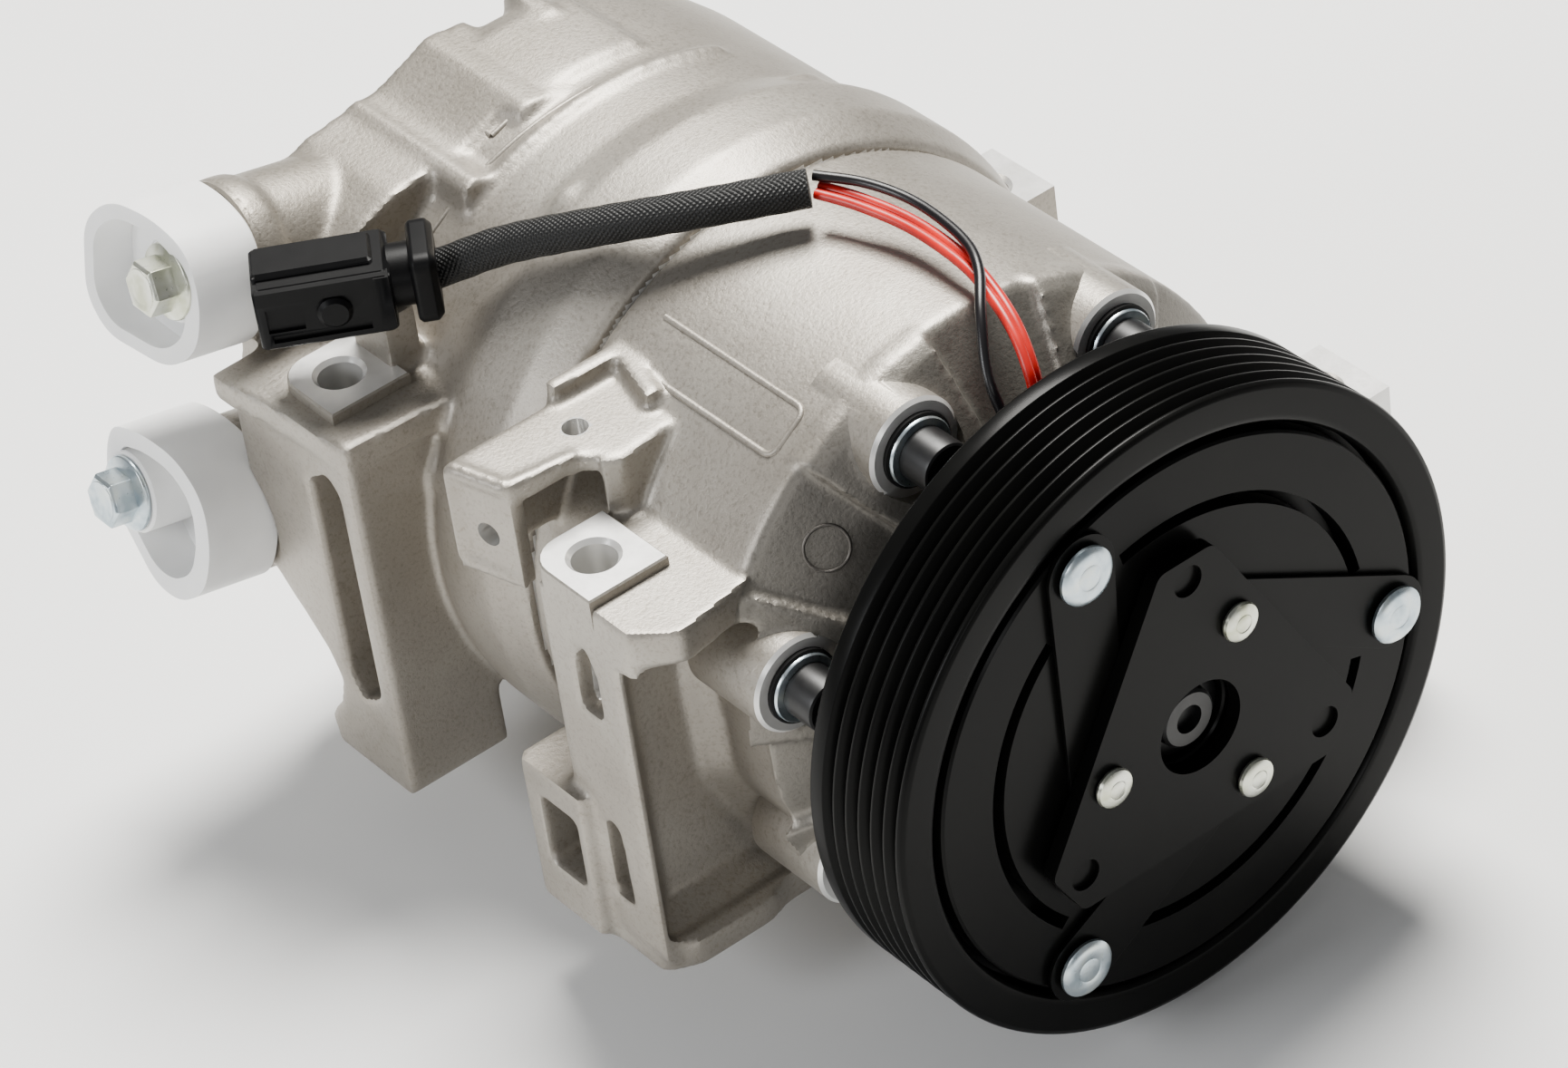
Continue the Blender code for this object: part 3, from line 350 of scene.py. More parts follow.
CAST = cast_aluminium(cone=True)
# A darker tone of the cast aluminium, used for the thin ring of the ejector mark.
DARK_CAST_TONE = cast_aluminium("darker_cast_tone", ("65615C", "6F6B66", "7A7670"))
MILLED = machined_aluminium()
BORED = bored_aluminium()
STEEL = turned_steel()
BLACK = black_coat()
OXIDE = oxide_steel()
ZINC = zinc()
STRAW_ZINC = zinc("straw_zinc", ("BDC0A8", "D2D4C4", "DCDDD3"))
WHITE = polyethylene()
NYLON = black_nylon()
RUBBER = rubber()
BRAID = woven_sleeve()
RED = insulation("red_pvc", "AE1210", "CB201A")
DARK_PVC = insulation("black_pvc", "080608", "0F0C0F")
COPPER = winding()


# ---------------------------------------------------------------- solids

class Solid:
    """Corners in millimetres in the shaft frame, with faces; solids add up with +."""

    def __init__(self, corners, faces):
        self.corners = [Vector(c) for c in corners]
        self.faces = [tuple(f) for f in faces]

    def __add__(self, other):
        shift = len(self.corners)
        return Solid(self.corners + other.corners,
            self.faces + [tuple(i + shift for i in f) for f in other.faces])

    def placed(self, matrix):
        return Solid([matrix @ c for c in self.corners], self.faces)


def lathe(profile, steps=96, first=0.0, span_deg=360.0):
    """Turn (radius, y) points round the shaft axis, wholly or through a sector."""
    whole = span_deg >= 360
    rings = steps if whole else steps + 1
    corners, index = [], {}
    for k in range(rings):
        turn = radians(first + span_deg * k / steps)
        for i, (r, y) in enumerate(profile):
            if r == 0 and k:
                index[k, i] = index[0, i]
                continue
            index[k, i] = len(corners)
            corners.append((r * cos(turn), y, r * sin(turn)))
    faces = []
    count = len(profile)
    for k in range(steps):
        after = (k + 1) % rings
        for i in range(count):
            j = (i + 1) % count
            if profile[i][0] == 0 and profile[j][0] == 0:
                continue
            loop = [index[k, i], index[k, j], index[after, j], index[after, i]]
            faces.append(tuple(dict.fromkeys(loop)))
    if not whole:
        faces.append(tuple(index[0, i] for i in range(count)))
        faces.append(tuple(index[steps, i] for i in reversed(range(count))))
    return Solid(corners, faces)


AXES = {
    "X": Matrix(((0, 0, 1, 0), (1, 0, 0, 0), (0, 1, 0, 0), (0, 0, 0, 1))),
    "Y": Matrix(((1, 0, 0, 0), (0, 0, 1, 0), (0, 1, 0, 0), (0, 0, 0, 1))),
    "Z": Matrix.Identity(4),
    }


def prism(outline, start, end, axis, chamfer=(0.0, 0.0)):
    """Outline of (first, second) points extruded along an axis, with chamfered ends."""
    levels = []
    middle = Vector((sum(p[0] for p in outline), sum(p[1] for p in outline))) / len(outline)

    def inset(points, by):
        if not by:
            return points
        count, moved = len(points), []
        area = sum(points[i][0] * points[(i + 1) % count][1]
            - points[(i + 1) % count][0] * points[i][1] for i in range(count))
        side = 1 if area > 0 else -1
        for i in range(count):
            p = Vector(points[i])
            a = (p - Vector(points[i - 1])).normalized()
            b = (Vector(points[(i + 1) % count]) - p).normalized()
            normal = Vector((-a.y - b.y, a.x + b.x)) * side
            if normal.length < 1e-6:
                normal = Vector((-a.y, a.x)) * side * 2
            scale = by / max(0.35, (normal.length / 2))
            moved.append(tuple(p + normal.normalized() * scale))
        return moved

    if chamfer[0]:
        levels.append((start, inset(outline, chamfer[0])))
        levels.append((start + chamfer[0], outline))
    else:
        levels.append((start, outline))
    if chamfer[1]:
        levels.append((end - chamfer[1], outline))
        levels.append((end, inset(outline, chamfer[1])))
    else:
        levels.append((end, outline))
    count = len(outline)
    corners = [(p[0], p[1], height) for height, points in levels for p in points]
    faces = [tuple(reversed(range(count)))]
    for level in range(len(levels) - 1):
        for i in range(count):
            j = (i + 1) % count
            faces.append((level * count + i, level * count + j,
                (level + 1) * count + j, (level + 1) * count + i))
    faces.append(tuple(range((len(levels) - 1) * count, len(levels) * count)))
    return Solid(corners, faces).placed(AXES[axis])


def rod(radius, start, end, sides=48, chamfer=(0.0, 0.0), hexagon=False):
    """Round (or six-sided) bar between two points."""
    start, end = Vector(start), Vector(end)
    sides = 6 if hexagon else sides
    outline = [(radius * cos(tau * i / sides), radius * sin(tau * i / sides))
        for i in range(sides)]
    bar = prism(outline, 0, (end - start).length, "Z", chamfer)
    turn = Vector((0, 0, 1)).rotation_difference(end - start).to_matrix().to_4x4()
    return bar.placed(Matrix.Translation(start) @ turn)


def block(low_corner, high_corner):
    (x0, y0, z0), (x1, y1, z1) = low_corner, high_corner
    return prism([(x0, y0), (x1, y0), (x1, y1), (x0, y1)], z0, z1, "Z")


def rounded(outline, radius, steps=5):
    """The outline with its corners rounded."""
    points, count = [], len(outline)
    for i in range(count):
        p = Vector(outline[i])
        a, b = Vector(outline[i - 1]) - p, Vector(outline[(i + 1) % count]) - p
        reach = min(radius, a.length * 0.48, b.length * 0.48)
        first, last = p + a.normalized() * reach, p + b.normalized() * reach
        for k in range(steps + 1):
            t = k / steps
            points.append(tuple(first * (1 - t) ** 2 + p * 2 * t * (1 - t) + last * t ** 2))
    return points


def slab(outline, radius, start, end, axis, chamfer=(0.0, 0.0)):
    """Prism on an outline with rounded corners."""
    return prism(rounded(outline, radius), start, end, axis, chamfer)


def polar(radius, angle, y=0.0):
    turn = radians(angle)
    return (radius * cos(turn), y, radius * sin(turn))


def ring_angles(pattern):
    return [pattern[1] + 360 / pattern[0] * i for i in range(pattern[0])]


def at_bolts(radius, start, end, circle=BOLT_CIRCLE, **more):
    """Rods along the bolts' directions, from one y to another."""
    return [rod(radius, polar(circle, a, start), polar(circle, a, end), **more)
        for a in ring_angles(BOLTS)]


def linked(name, data):
    """A new object in the scene."""
    obj = bpy.data.objects.new(name, data)
    bpy.context.scene.collection.objects.link(obj)
    return obj


def turned_out(mesh, merge=0.0):
    """Merge corners closer than a distance in metres, and turn every face outwards."""
    bm = bmesh.new()
    bm.from_mesh(mesh)
    if merge:
        bmesh.ops.remove_doubles(bm, verts=bm.verts, dist=merge)
    bmesh.ops.recalc_face_normals(bm, faces=bm.faces)
    bm.to_mesh(mesh)
    bm.free()


def piece(name, solid, material):
    """An object from a solid, with outward faces; its place is in its mesh."""
    mesh = bpy.data.meshes.new(name)
    mesh.from_pydata([AXIS + c * MM for c in solid.corners], [], solid.faces)
    turned_out(mesh, 1e-7)
    obj = linked(name, mesh)
    if material:
        mesh.materials.append(material)
    return obj


def settle(obj):
    """Turn an object's live modifiers into its plain mesh."""
    graph = bpy.context.evaluated_depsgraph_get()
    mesh = bpy.data.meshes.new_from_object(obj.evaluated_get(graph))
    obj.modifiers.clear()
    obj.data = mesh
    return obj


def boolean(obj, operation, solids, solver="MANIFOLD"):
    """Join solids to an object or cut them from it, one after another."""
    tools = []
    for solid in solids:
        tool = piece("tool", solid, None)
        tool.hide_render = True
        tools.append(tool)
        modifier = obj.modifiers.new("shape", "BOOLEAN")
        modifier.operation, modifier.solver, modifier.object = operation, solver, tool
    settle(obj)
    for tool in tools:
        bpy.data.objects.remove(tool, do_unlink=True)
    return obj


def rounded_edges(obj, width, segments=3, angle=32):
    """Bevel every edge sharper than an angle."""
    modifier = obj.modifiers.new("edges", "BEVEL")
    modifier.width = width * MM
    modifier.segments = segments
    modifier.limit_method = "ANGLE"
    modifier.angle_limit = radians(angle)
    for face in obj.data.polygons:
        face.use_smooth = True
    flat = obj.modifiers.new("flat", "WEIGHTED_NORMAL")
    flat.keep_sharp = True
    return settle(obj)


def smooth(obj, angle=34):
    obj.data.shade_smooth()
    obj.data.set_sharp_from_angle(angle=radians(angle))
    return obj


def cast(name, solids, pockets, voxel, rounds):
    """Melt overlapping solids, less their pockets, into one skin with the soft corners
    and edges of a casting; voxel size in millimetres."""
    whole = solids[0]
    for solid in solids[1:]:
        whole = whole + solid
    obj = piece(name, whole, CAST)
    for turn in range(2):
        melt = obj.modifiers.new("melt", "REMESH")
        melt.mode = "VOXEL"
        melt.voxel_size = voxel * MM
        if not turn:
            boolean(obj, "DIFFERENCE", pockets)
    relax = obj.modifiers.new("relax", "SMOOTH")
    relax.factor = 0.5
    relax.iterations = rounds
    return settle(obj)


def repaint(obj, material, test):
    """Give the material to every face whose middle, in millimetres, passes the test."""
    obj.data.materials.append(material)
    slot = len(obj.data.materials) - 1
    for face in obj.data.polygons:
        if test((face.center - AXIS) / MM, face.normal):
            face.material_index = slot


# ---------------------------------------------------------------- patterns and paths

def new_group(name, **sockets):
    """Node tree that takes geometry and named sockets and gives geometry."""
    tree = bpy.data.node_groups.new(name, "GeometryNodeTree")
    face = tree.interface
    face.new_socket("Geometry", in_out="INPUT", socket_type="NodeSocketGeometry")
    for key, kind in sockets.items():
        face.new_socket(key, in_out="INPUT", socket_type="NodeSocket" + kind)
    face.new_socket("Geometry", in_out="OUTPUT", socket_type="NodeSocketGeometry")
    return tree, add_node(tree, "NodeGroupInput").outputs


def group_end(tree, geometry, material):
    """Make the copies real, paint them and send them out."""
    real = add_node(tree, "GeometryNodeRealizeInstances", {"Geometry": geometry})
    painted = add_node(tree, "GeometryNodeSetMaterial", {"Geometry": real.outputs[0],
        "Material": material})
    add_node(tree, "NodeGroupOutput", {"Geometry": painted.outputs[0]})
    return tree


def ring_tree():
    """Node tree: copies of a piece turned round the shaft axis."""
    tree, given = new_group("ring_of_pieces", Count="Int", Axis="Vector",
        Material="Material")
    away = add_node(tree, "ShaderNodeVectorMath", {0: given["Axis"]}, operation="SCALE")
    away.inputs["Scale"].default_value = -1.0
    centred = add_node(tree, "GeometryNodeTransform", {"Geometry": given["Geometry"],
        "Translation": away.outputs[0]})
    points = add_node(tree, "GeometryNodePoints", {"Count": given["Count"]})
    share = add_node(tree, "ShaderNodeMath", {1: given["Count"]}, operation="DIVIDE")
    share.inputs[0].default_value = -tau
    index = add_node(tree, "GeometryNodeInputIndex")
    turn = add_node(tree, "ShaderNodeMath", {0: share.outputs[0], 1: index.outputs[0]},
        operation="MULTIPLY")
    spin = add_node(tree, "ShaderNodeCombineXYZ", {"Y": turn.outputs[0]})
    copies = add_node(tree, "GeometryNodeInstanceOnPoints", {
        "Points": points.outputs[0], "Instance": centred.outputs[0],
        "Rotation": spin.outputs[0]})
    back = add_node(tree, "GeometryNodeTransform", {"Geometry": copies.outputs[0],
        "Translation": given["Axis"]})
    return group_end(tree, back.outputs[0], given["Material"])


def wire_tree():
    """Node tree: a round wire along the edges of a route."""
    tree, given = new_group("wire_along_route", Radius="Float", Sides="Int",
        Material="Material")
    route = add_node(tree, "GeometryNodeMeshToCurve", {"Mesh": given["Geometry"]})
    section = add_node(tree, "GeometryNodeCurvePrimitiveCircle",
        {"Resolution": given["Sides"], "Radius": given["Radius"]})
    skin = add_node(tree, "GeometryNodeCurveToMesh",
        {"Curve": route.outputs[0], "Profile Curve": section.outputs[0]})
    skin.inputs["Fill Caps"].default_value = True
    soft = add_node(tree, "GeometryNodeSetShadeSmooth", {"Geometry": skin.outputs[0]})
    return group_end(tree, soft.outputs[0], given["Material"])


RING = ring_tree()
WIRE = wire_tree()


def grown(obj, tree, **inputs):
    """Run a node tree on an object with named inputs and keep the plain mesh."""
    modifier = obj.modifiers.new(tree.name, "NODES")
    modifier.node_group = tree
    names = {item.name: item.identifier for item in tree.interface.items_tree
        if item.in_out == "INPUT"}
    for name, value in inputs.items():
        modifier[names[name]] = value
    obj.update_tag()
    return settle(obj)


def ringed(obj, pattern, material, angle=34):
    grown(obj, RING, Count=pattern[0], Axis=AXIS, Material=material)
    return smooth(obj, angle)


def smooth_route(knots, spacing):
    """Points along a Catmull-Rom curve through the knots."""
    knots = [Vector(k) for k in knots]
    padded = [2 * knots[0] - knots[1]] + knots + [2 * knots[-1] - knots[-2]]
    points = [knots[0]]
    for a, b, c, d in zip(padded, padded[1:], padded[2:], padded[3:]):
        steps = max(1, round((c - b).length / spacing))
        for i in range(1, steps + 1):
            t = i / steps
            points.append(0.5 * (2 * b + (c - a) * t + (2 * a - 5 * b + 4 * c - d) * t ** 2
                + (3 * b - a - 3 * c + d) * t ** 3))
    return points


def done(obj, body, slot, *nodes):
    """Hand a finished piece to its body, in place of the nodes it stands for."""
    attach(obj, body)
    if nodes:
        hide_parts(*nodes)
    return obj


# ---------------------------------------------------------------- casings

def port_place(port, offset=(0.0, 0.0)):
    """Matrix of a port's frame: +Z out, +X forwards, +Y upwards."""
    tilt = radians(PORT_TILT)
    forwards = Vector((0, -1, 0))
    upwards = Vector((sin(tilt), 0, cos(tilt)))
    outwards = Vector((-cos(tilt), 0, sin(tilt)))
    place = Matrix((forwards, upwards, outwards)).transposed().to_4x4()
    place.translation = (outwards * port[0] + upwards * (port[1] + offset[1])
        + forwards * (offset[0] - PORT_Y))
    return place


def pad_outline(y):
    """Square machined pad, its front left corner a half round."""
    arc = [(-74.2 + 6.8 * cos(radians(a)), y + 2.9 + 6.8 * sin(radians(a)))
        for a in range(90, 181, 15)]
    return [(-81, y - 10.2), (-62.5, y - 10.2), (-62.5, y + 9.7)] + arc


def bead(name, points, radius, closed=False, material=None, sides=12, angle=60):
    """A round line of one thickness along points, open or closed."""
    mesh = bpy.data.meshes.new(name)
    edges = [(i, i + 1) for i in range(len(points) - 1)]
    if closed:
        edges.append((len(points) - 1, 0))
    mesh.from_pydata([AXIS + Vector(p) * MM for p in points], edges, [])
    obj = linked(name, mesh)
    grown(obj, WIRE, Radius=radius * MM, Sides=sides, Material=material or CAST)
    return smooth(obj, angle)


def on_shell(points, radius):
    """Points given as (degrees, y), laid on a cylinder round the shaft."""
    return [Vector(polar(radius, a, y)) for a, y in points]


def bore_cut(x, y, top):
    """Through bore with a small countersink at its upper mouth."""
    profile = [(0, FOOT_Z - 3), (4.5, FOOT_Z - 3), (4.5, top - 0.9), (6.4, top + 1.0),
        (6.4, top + 3), (0, top + 3)]
    turned = lathe(profile, 48)
    return turned.placed(Matrix.Translation((x, y, 0)) @ AXES["Y"])


def is_bored(middle):
    """Whether a face belongs to a lug bore or its countersink."""
    return any(hypot(middle.x - x, middle.y - y) < 5.6 and middle.z < top - 0.02
        for x, y, top in LUG_BORES)


def front_casing():
    """Front casing with its lug post, ribs, top bracket and bolt bosses."""
    shell = lathe([(0, 38.3), (36, 38.3), (43, 39.4), (64.7, 53.6), (65.9, 55.0), (65.9, 112.4),
        (0, 112.4)], 160)
    bosses = at_bolts(9.5, BOLT_SEAT, 66, chamfer=(0.6, 0))
    raised = [lathe([(34, 41), (37.5, 36.6), (44, 36.6), (64.4, 50.4), (66.3, 53.4), (66.3, 57),
        (60, 62), (50, 60)], 4, a - 14.5, 29) for a in ring_angles(BOLTS)]
    bulge = rod(10.4, polar(58.6, BOLTS[1], 50), polar(58.6, BOLTS[1], 96), chamfer=(3, 6))
    front, rear = 62.2, 84.8
    post = slab([(-81, 33.4), (-52, 33.4), (-55, 10), (-53, -16), (-42, -37),
        (-34, -52.9), (-66, -52.9), (-76, -52.9), (-81, -49)], 2,
        front, rear, "Y")
    foot = slab([(-80.8, 84.8), (-80.8, 64), (-74, 60.4), (-57, 60.2), (-38, 66),
        (-36, 84.8)], 2.5, -52.9, -46.8, "Z")
    rim = [rod(1.7, a, b, 16) for a, b in (
        ((-53.4, 65.0, 28), (-56.4, 67.2, 8)), ((-56.4, 67.2, 8), (-55.0, 67.6, -16)),
        ((-55.0, 67.6, -16), (-45.0, 67.4, -37)), ((-45.0, 67.4, -37), (-36, 66.6, -47)))]
    table = slab([(-80.9, 57.2), (-73, 50.4), (-54, 53.6), (-49, 70), (-52, 88.4),
        (-74, 88.4), (-80.9, 81)], 1.6, 28, 35.6, "Z")
    hood = slab([(-81, 58), (-72, 52), (-55, 55), (-52, 70), (-54, 84),
        (-80.6, 84)], 2.5, 24.0, 31, "Z")
    box = slab([(-83.6, 78.8), (-64, 78.8), (-64, 99.2), (-83.6, 99.2)], 1.6,
        -51.4, -16.4, "Z")
    shelf = block((-80.8, 66, -50.6), (-64, 82, -33))
    top = slab([(-82.8, 107.5), (-78.8, 92.3), (-64, 91), (-58, 85.4), (-46.4, 88),
        (-40, 109)], 1.6, 45.2, 49, "Z")
    rims = [rod(size, a, b, 16) for size, a, b in (
        (1.7, (-81.9, 106.4, 48.4), (-78.4, 93.6, 48.4)), (1.3, (-78.2, 93.6, 48.7),
        (-64, 91.8, 48.7)),
        (1.7, (-81.9, 106.4, 48.4), (-81.9, 106.4, 27.5)),
        (1.7, (-81.9, 106.4, 27.5), (-78.4, 94.4, 27.0)))]
    rib = [prism([(-57, 106.4), (-38.4, 106.2), (-38.4, 109.8), (-57, 109.8)], 40, 52.8, "Z"),
        prism([(-46.4, 92), (-43, 91.4), (-38.2, 108), (-41.8, 108.8)], 40, 52.8, "Z")]
    leaf = prism([(-82.8, 107.4), (-78.8, 92.3), (-75.2, 93.3), (-79.2, 108.4)], 25.2, 49, "Z")
    wall = prism([(-62, 87), (-58, 84.4), (-44, 86), (-44, 90), (-57, 90.5)], 30, 49, "Z")
    web = prism([(-79, 104.8), (-78.2, 108.4), (-50, 108.4), (-50, 104.8)], 25.2, 48.8, "Z")
    scoop = slab([(-79.2, 26.5), (-55.6, 28), (-58.4, 8), (-57.2, -16), (-47, -37.4),
        (-38, -45.4), (-79.2, -45.4)], 3, 50, 69.4, "Y", (0, 5.0))
    window = slab([(82.2, -40), (93.2, -40), (93.2, -23.4), (82.2, -23.4)], 1,
        -90, -70, "X")
    slit = slab([(70.4, -39.5), (76, -39.5), (75.4, -20), (71.4, -20)], 1.6,
        -90, -74.4, "X")
    notch = slab([(70, 7.4), (76.8, 7.4), (76, 20), (72.6, 24), (70, 18)], 1.6,
        -90, -75.6, "X")
    obj = cast("front_casing", [shell, *bosses, *raised, bulge, post, foot, *rim, table, hood,
        box, shelf, top, *rims, *rib, leaf, wall, web,
        far_lug(54.0, 1.2)],
        [scoop, window, slit, notch], 0.8, 4)
    pad = prism(pad_outline(77.6), 31, PAD_Z, "Z", (0, 0.35))
    crisp = at_bolts(10.3, 43.2, 64, sides=64, chamfer=(0.9, 0))
    boolean(obj, "UNION", [pad, far_lug(54.0), *crisp])
    cavity = lathe([(0, 50), (CAVITY_R, 50), (CAVITY_R, 116), (0, 116)], 96)
    nose = lathe([(0, 30), (11.9, 30), (11.9, 52), (0, 52)], 64)
    holes = at_bolts(3.35, 42, 116, sides=24)
    seats = at_bolts(10.0, 30, BOLT_SEAT, sides=64)
    small = [rod(2.6, (-58.6, 98.4, 40), (-58.6, 98.4, 55), 32),
        rod(2.6, (-90, 96.6, 36), (-72, 101.4, 36), 32)]
    bores = [bore_cut(*LUG_BORES[0]), bore_cut(*LUG_BORES[2])]
    boolean(obj, "DIFFERENCE", [cavity, nose, *holes, *seats, *small, *bores])

    repaint(obj, MILLED, lambda c, n: (n.z > 0.9 and abs(c.z - PAD_Z) < 0.08)
        or (n.z > 0.9 and abs(c.z) < 0.05 and c.x > 60)
        or (n.y < -0.9 and 43.1 < c.y < 44.2)
        or (43.15 < c.y < 44.15 and -0.8 < n.y < -0.6
        and any((c - Vector(polar(BOLT_CIRCLE, a, c.y))).length < 10.4
        for a in ring_angles(BOLTS)))
        or (c.y > 112.3 and n.y > 0.9))
    repaint(obj, BORED, lambda c, n: is_bored(c) or (hypot(c.x + 58.6, c.y - 98.4) < 2.8
        and c.z > 40)
        or (c.x < -70 and abs(c.z - 36) < 2.61 and abs(n.x) < 0.4
        and abs(c.y - 96.6 - (c.x + 90) * 0.267) < 2.8 and c.y > 94))
    smooth(obj, 30)
    done(obj, "housing", "cast_aluminium", "front_housing")
    tube_nose = lathe([(13.0, 5.2), (13.8, 4.8), (16.8, 4.8), (17.2, 5.4), (17.2, 39),
        (13.0, 39)], 64)
    done(smooth(piece("front_nose", tube_nose, MILLED)), "housing", "cast_aluminium")
    corner = [(119.2 + 2.1 * (1 - cos(t)), 61.0 + 2.4 * (1 - sin(t)))
        for t in [radians(15 * k) for k in range(7)]]
    other = [(128.6 - 2.1 * (1 - sin(t)), 61.0 + 2.4 * (1 - cos(t)))
        for t in [radians(15 * k) for k in range(7)]]
    outline = [(119.2, 103 - 4 * k) for k in range(10)] + corner + other
    outline += [(128.6, 65 + 4 * k) for k in range(10)]
    done(bead("casting_panel", on_shell(outline, 65.65), 0.75), "housing", "cast_aluminium")
    centre, turn = Vector(polar(55.6, 137.4, 47.6)), radians(137.4)
    across = Vector((-sin(turn), 0, cos(turn)))
    along = Vector((0.834 * cos(turn), 0.552, 0.834 * sin(turn)))
    circle = [centre + across * (4.4 * cos(t)) + along * (4.4 * sin(t))
        for t in [tau * k / 40 for k in range(40)]]
    done(bead("ejector_mark", circle, 0.35, True, DARK_CAST_TONE), "housing", "cast_aluminium")


def far_lug(y, less=0.0):
    """Square lug on the far side with a milled top, thinner all round by a margin."""
    return block((56, y - 10 + less, -52.9), (93.9 - less, y + 10 - less, -less))


def rear_casing():
    """Rear casing with its lug post, port spouts and raised marks."""
    shell = lathe([(0, SPLIT_Y + 0.2), (66.4, SPLIT_Y + 0.2), (67.2, SPLIT_Y + 1.0), (70, 122),
        (70, 136), (66.9, 146), (66.6, 190), (65.8, 197), (62.8, 201), (58, 202.9),
        (0, 202.9)], 160)
    ports = slab([(-4, 66), (-16, 67.2), (-24, 63.6), (-28, 62.0), (-46, 59.6),
        (-54, 56.4), (-64, 50), (-70, 20), (-76, -12), (-72, -36),
        (-50, -44), (-40, -20), (-44, 20), (-20, 46)], 1.5,
        171.5, 201.6, "Y")
    spouts = [rod(15.3, (0, 0, -inward), (0, 0, -0.8), 64).placed(port_place(port))
        for port, inward in ((UPPER_PORT, 50), (LOWER_PORT, 62))]
    collars = [rod(16.3, (0, 0, -6.5), (0, 0, -0.8), 64).placed(port_place(port))
        for port in (UPPER_PORT, LOWER_PORT)]
    post = slab([(141.2, 35), (180.8, 35), (180.8, -12), (164, -27), (161, -33),
        (163, -40), (168, -46), (167, -52.9), (141.2, -52.9)], 1.5,
        -84.5, -60, "X")
    table = slab([(-84.5, 141.0), (-52, 138.1), (-52, 180.9), (-74, 181.7),
        (-88.6, 180.9), (-86.1, 165)], 1.2, 29.4, 35.4, "Z")
    rib = block((-66, 142.5, 14), (-49, 178.6, 32))
    perch = block((-64.0, 152.5, 30), (-56.5, 165.5, 49.6))
    gussets = [slab([(166, 26), (181, 26), (199, 4), (192, -12), (168, -38)], 1,
        -77 + k * 9, -74.6 + k * 9, "X") for k in range(2)]
    arcs = [lathe([(60, 159.4), (67.9, 159.4), (67.9, 161.6), (60, 161.6)], 40, 66, 52),
        lathe([(60, 168), (67.4, 168), (68.0, 169), (68.0, 192), (66, 198), (60, 199)],
        24, 78, 28)]
    ridges = [prism([(-37.5, 55), (-36, 61.2), (-33.5, 62.2), (-26, 60), (-24, 55)], 160,
        201.6, "Y"),
        prism([(-20, 58), (-17.5, 66.6), (-15, 67.6), (-6, 67.0), (-4, 62)], 166,
        201.8, "Y"),
        prism([(4, 62), (5, 68.2), (9, 68.2), (10, 62)], 188, 202, "Y")]
    lumps = at_bolts(8.8, SPLIT_Y + 6, 146, 61.0, chamfer=(4, 4))
    recess = slab([(146.5, 21), (150, 24.5), (157, 20), (157, -29), (153.6, -34),
        (146.5, -30)], 1.5, -92, -76.5, "X")
    obj = cast("rear_casing", [shell, ports, *spouts, *collars, post, table, rib, perch,
        *gussets, *arcs, *ridges, *lumps, far_lug(154.5, 1.2)],
        [recess], 0.88, 4)
    pad = prism(pad_outline(159.0), 31, PAD_Z, "Z", (0, 0.35))
    faces = [rod(16.0, (0, 0, -3), (0, 0, 0), 64, (0, 0.5)).placed(port_place(p))
        for p in (UPPER_PORT, LOWER_PORT)]
    boolean(obj, "UNION", [pad, *faces, far_lug(154.5)])
    room = rod(17.9, (0, 0, 0.05), (0, 0, 40), 64).placed(port_place(LOWER_PORT))
    cavity = lathe([(0, 100), (CAVITY_R, 100), (CAVITY_R, 156.5), (46, 156.5), (46, 192),
        (0, 192)], 96)
    valve = lathe([(0, 190), (9.4, 190), (9.4, 206), (0, 206)], 48)
    relief = rod(5.3, (31, 186, -20), (31, 206, -20), 32)
    holes = at_bolts(3.35, 110, 127, sides=24)
    groove = lathe([(60.6, 110), (64.4, 110), (64.4, 115.1), (60.6, 115.1)], 96)
    ducts = [rod(6.5, (0, 0, -inward), (0, 0, 5), 32).placed(port_place(port, duct))
        for port, duct, inward in ((UPPER_PORT, UPPER_DUCT, 60),
        (LOWER_PORT, LOWER_DUCT, 56))]
    threads = [rod(3.3, (0, 0, -16), (0, 0, 5), 24).placed(port_place(port, bolt))
        for port, bolt in ((UPPER_PORT, UPPER_BOLT), (LOWER_PORT, LOWER_BOLT))]
    bores = [bore_cut(*LUG_BORES[1]), bore_cut(*LUG_BORES[3])]
    boolean(obj, "DIFFERENCE", [room, cavity, valve, relief, *holes, groove, *ducts,
        *threads, *bores])
    repaint(obj, MILLED, lambda c, n: (n.z > 0.9 and abs(c.z - PAD_Z) < 0.08)
        or (n.z > 0.9 and abs(c.z) < 0.05 and c.x > 60) or (c.y < 112.85 and n.y < -0.9))
    repaint(obj, BORED, lambda c, n: is_bored(c))
    smooth(obj, 30)
    done(obj, "housing", "cast_aluminium", "rear_housing")
    lines = [
        ("l_mark_long", [(110, 186 - 2.4 * k) for k in range(8)], 66.7, 0.7),
        ("l_mark_short", [(110 - 2.2 * k, 169.2) for k in range(10)], 66.7, 0.7),
        ("step_line", [(132 - 2.2 * k, 166 - 0.2 * k) for k in range(20)], 66.5, 0.7),
        ("edge_line", [(141 - 1.6 * k, 171.2 - 2.3 * k) for k in range(14)], 66.6, 0.6),
        ]
    for name, points, radius, size in lines:
        done(bead(name, on_shell(points, radius), size), "housing", "cast_aluminium")


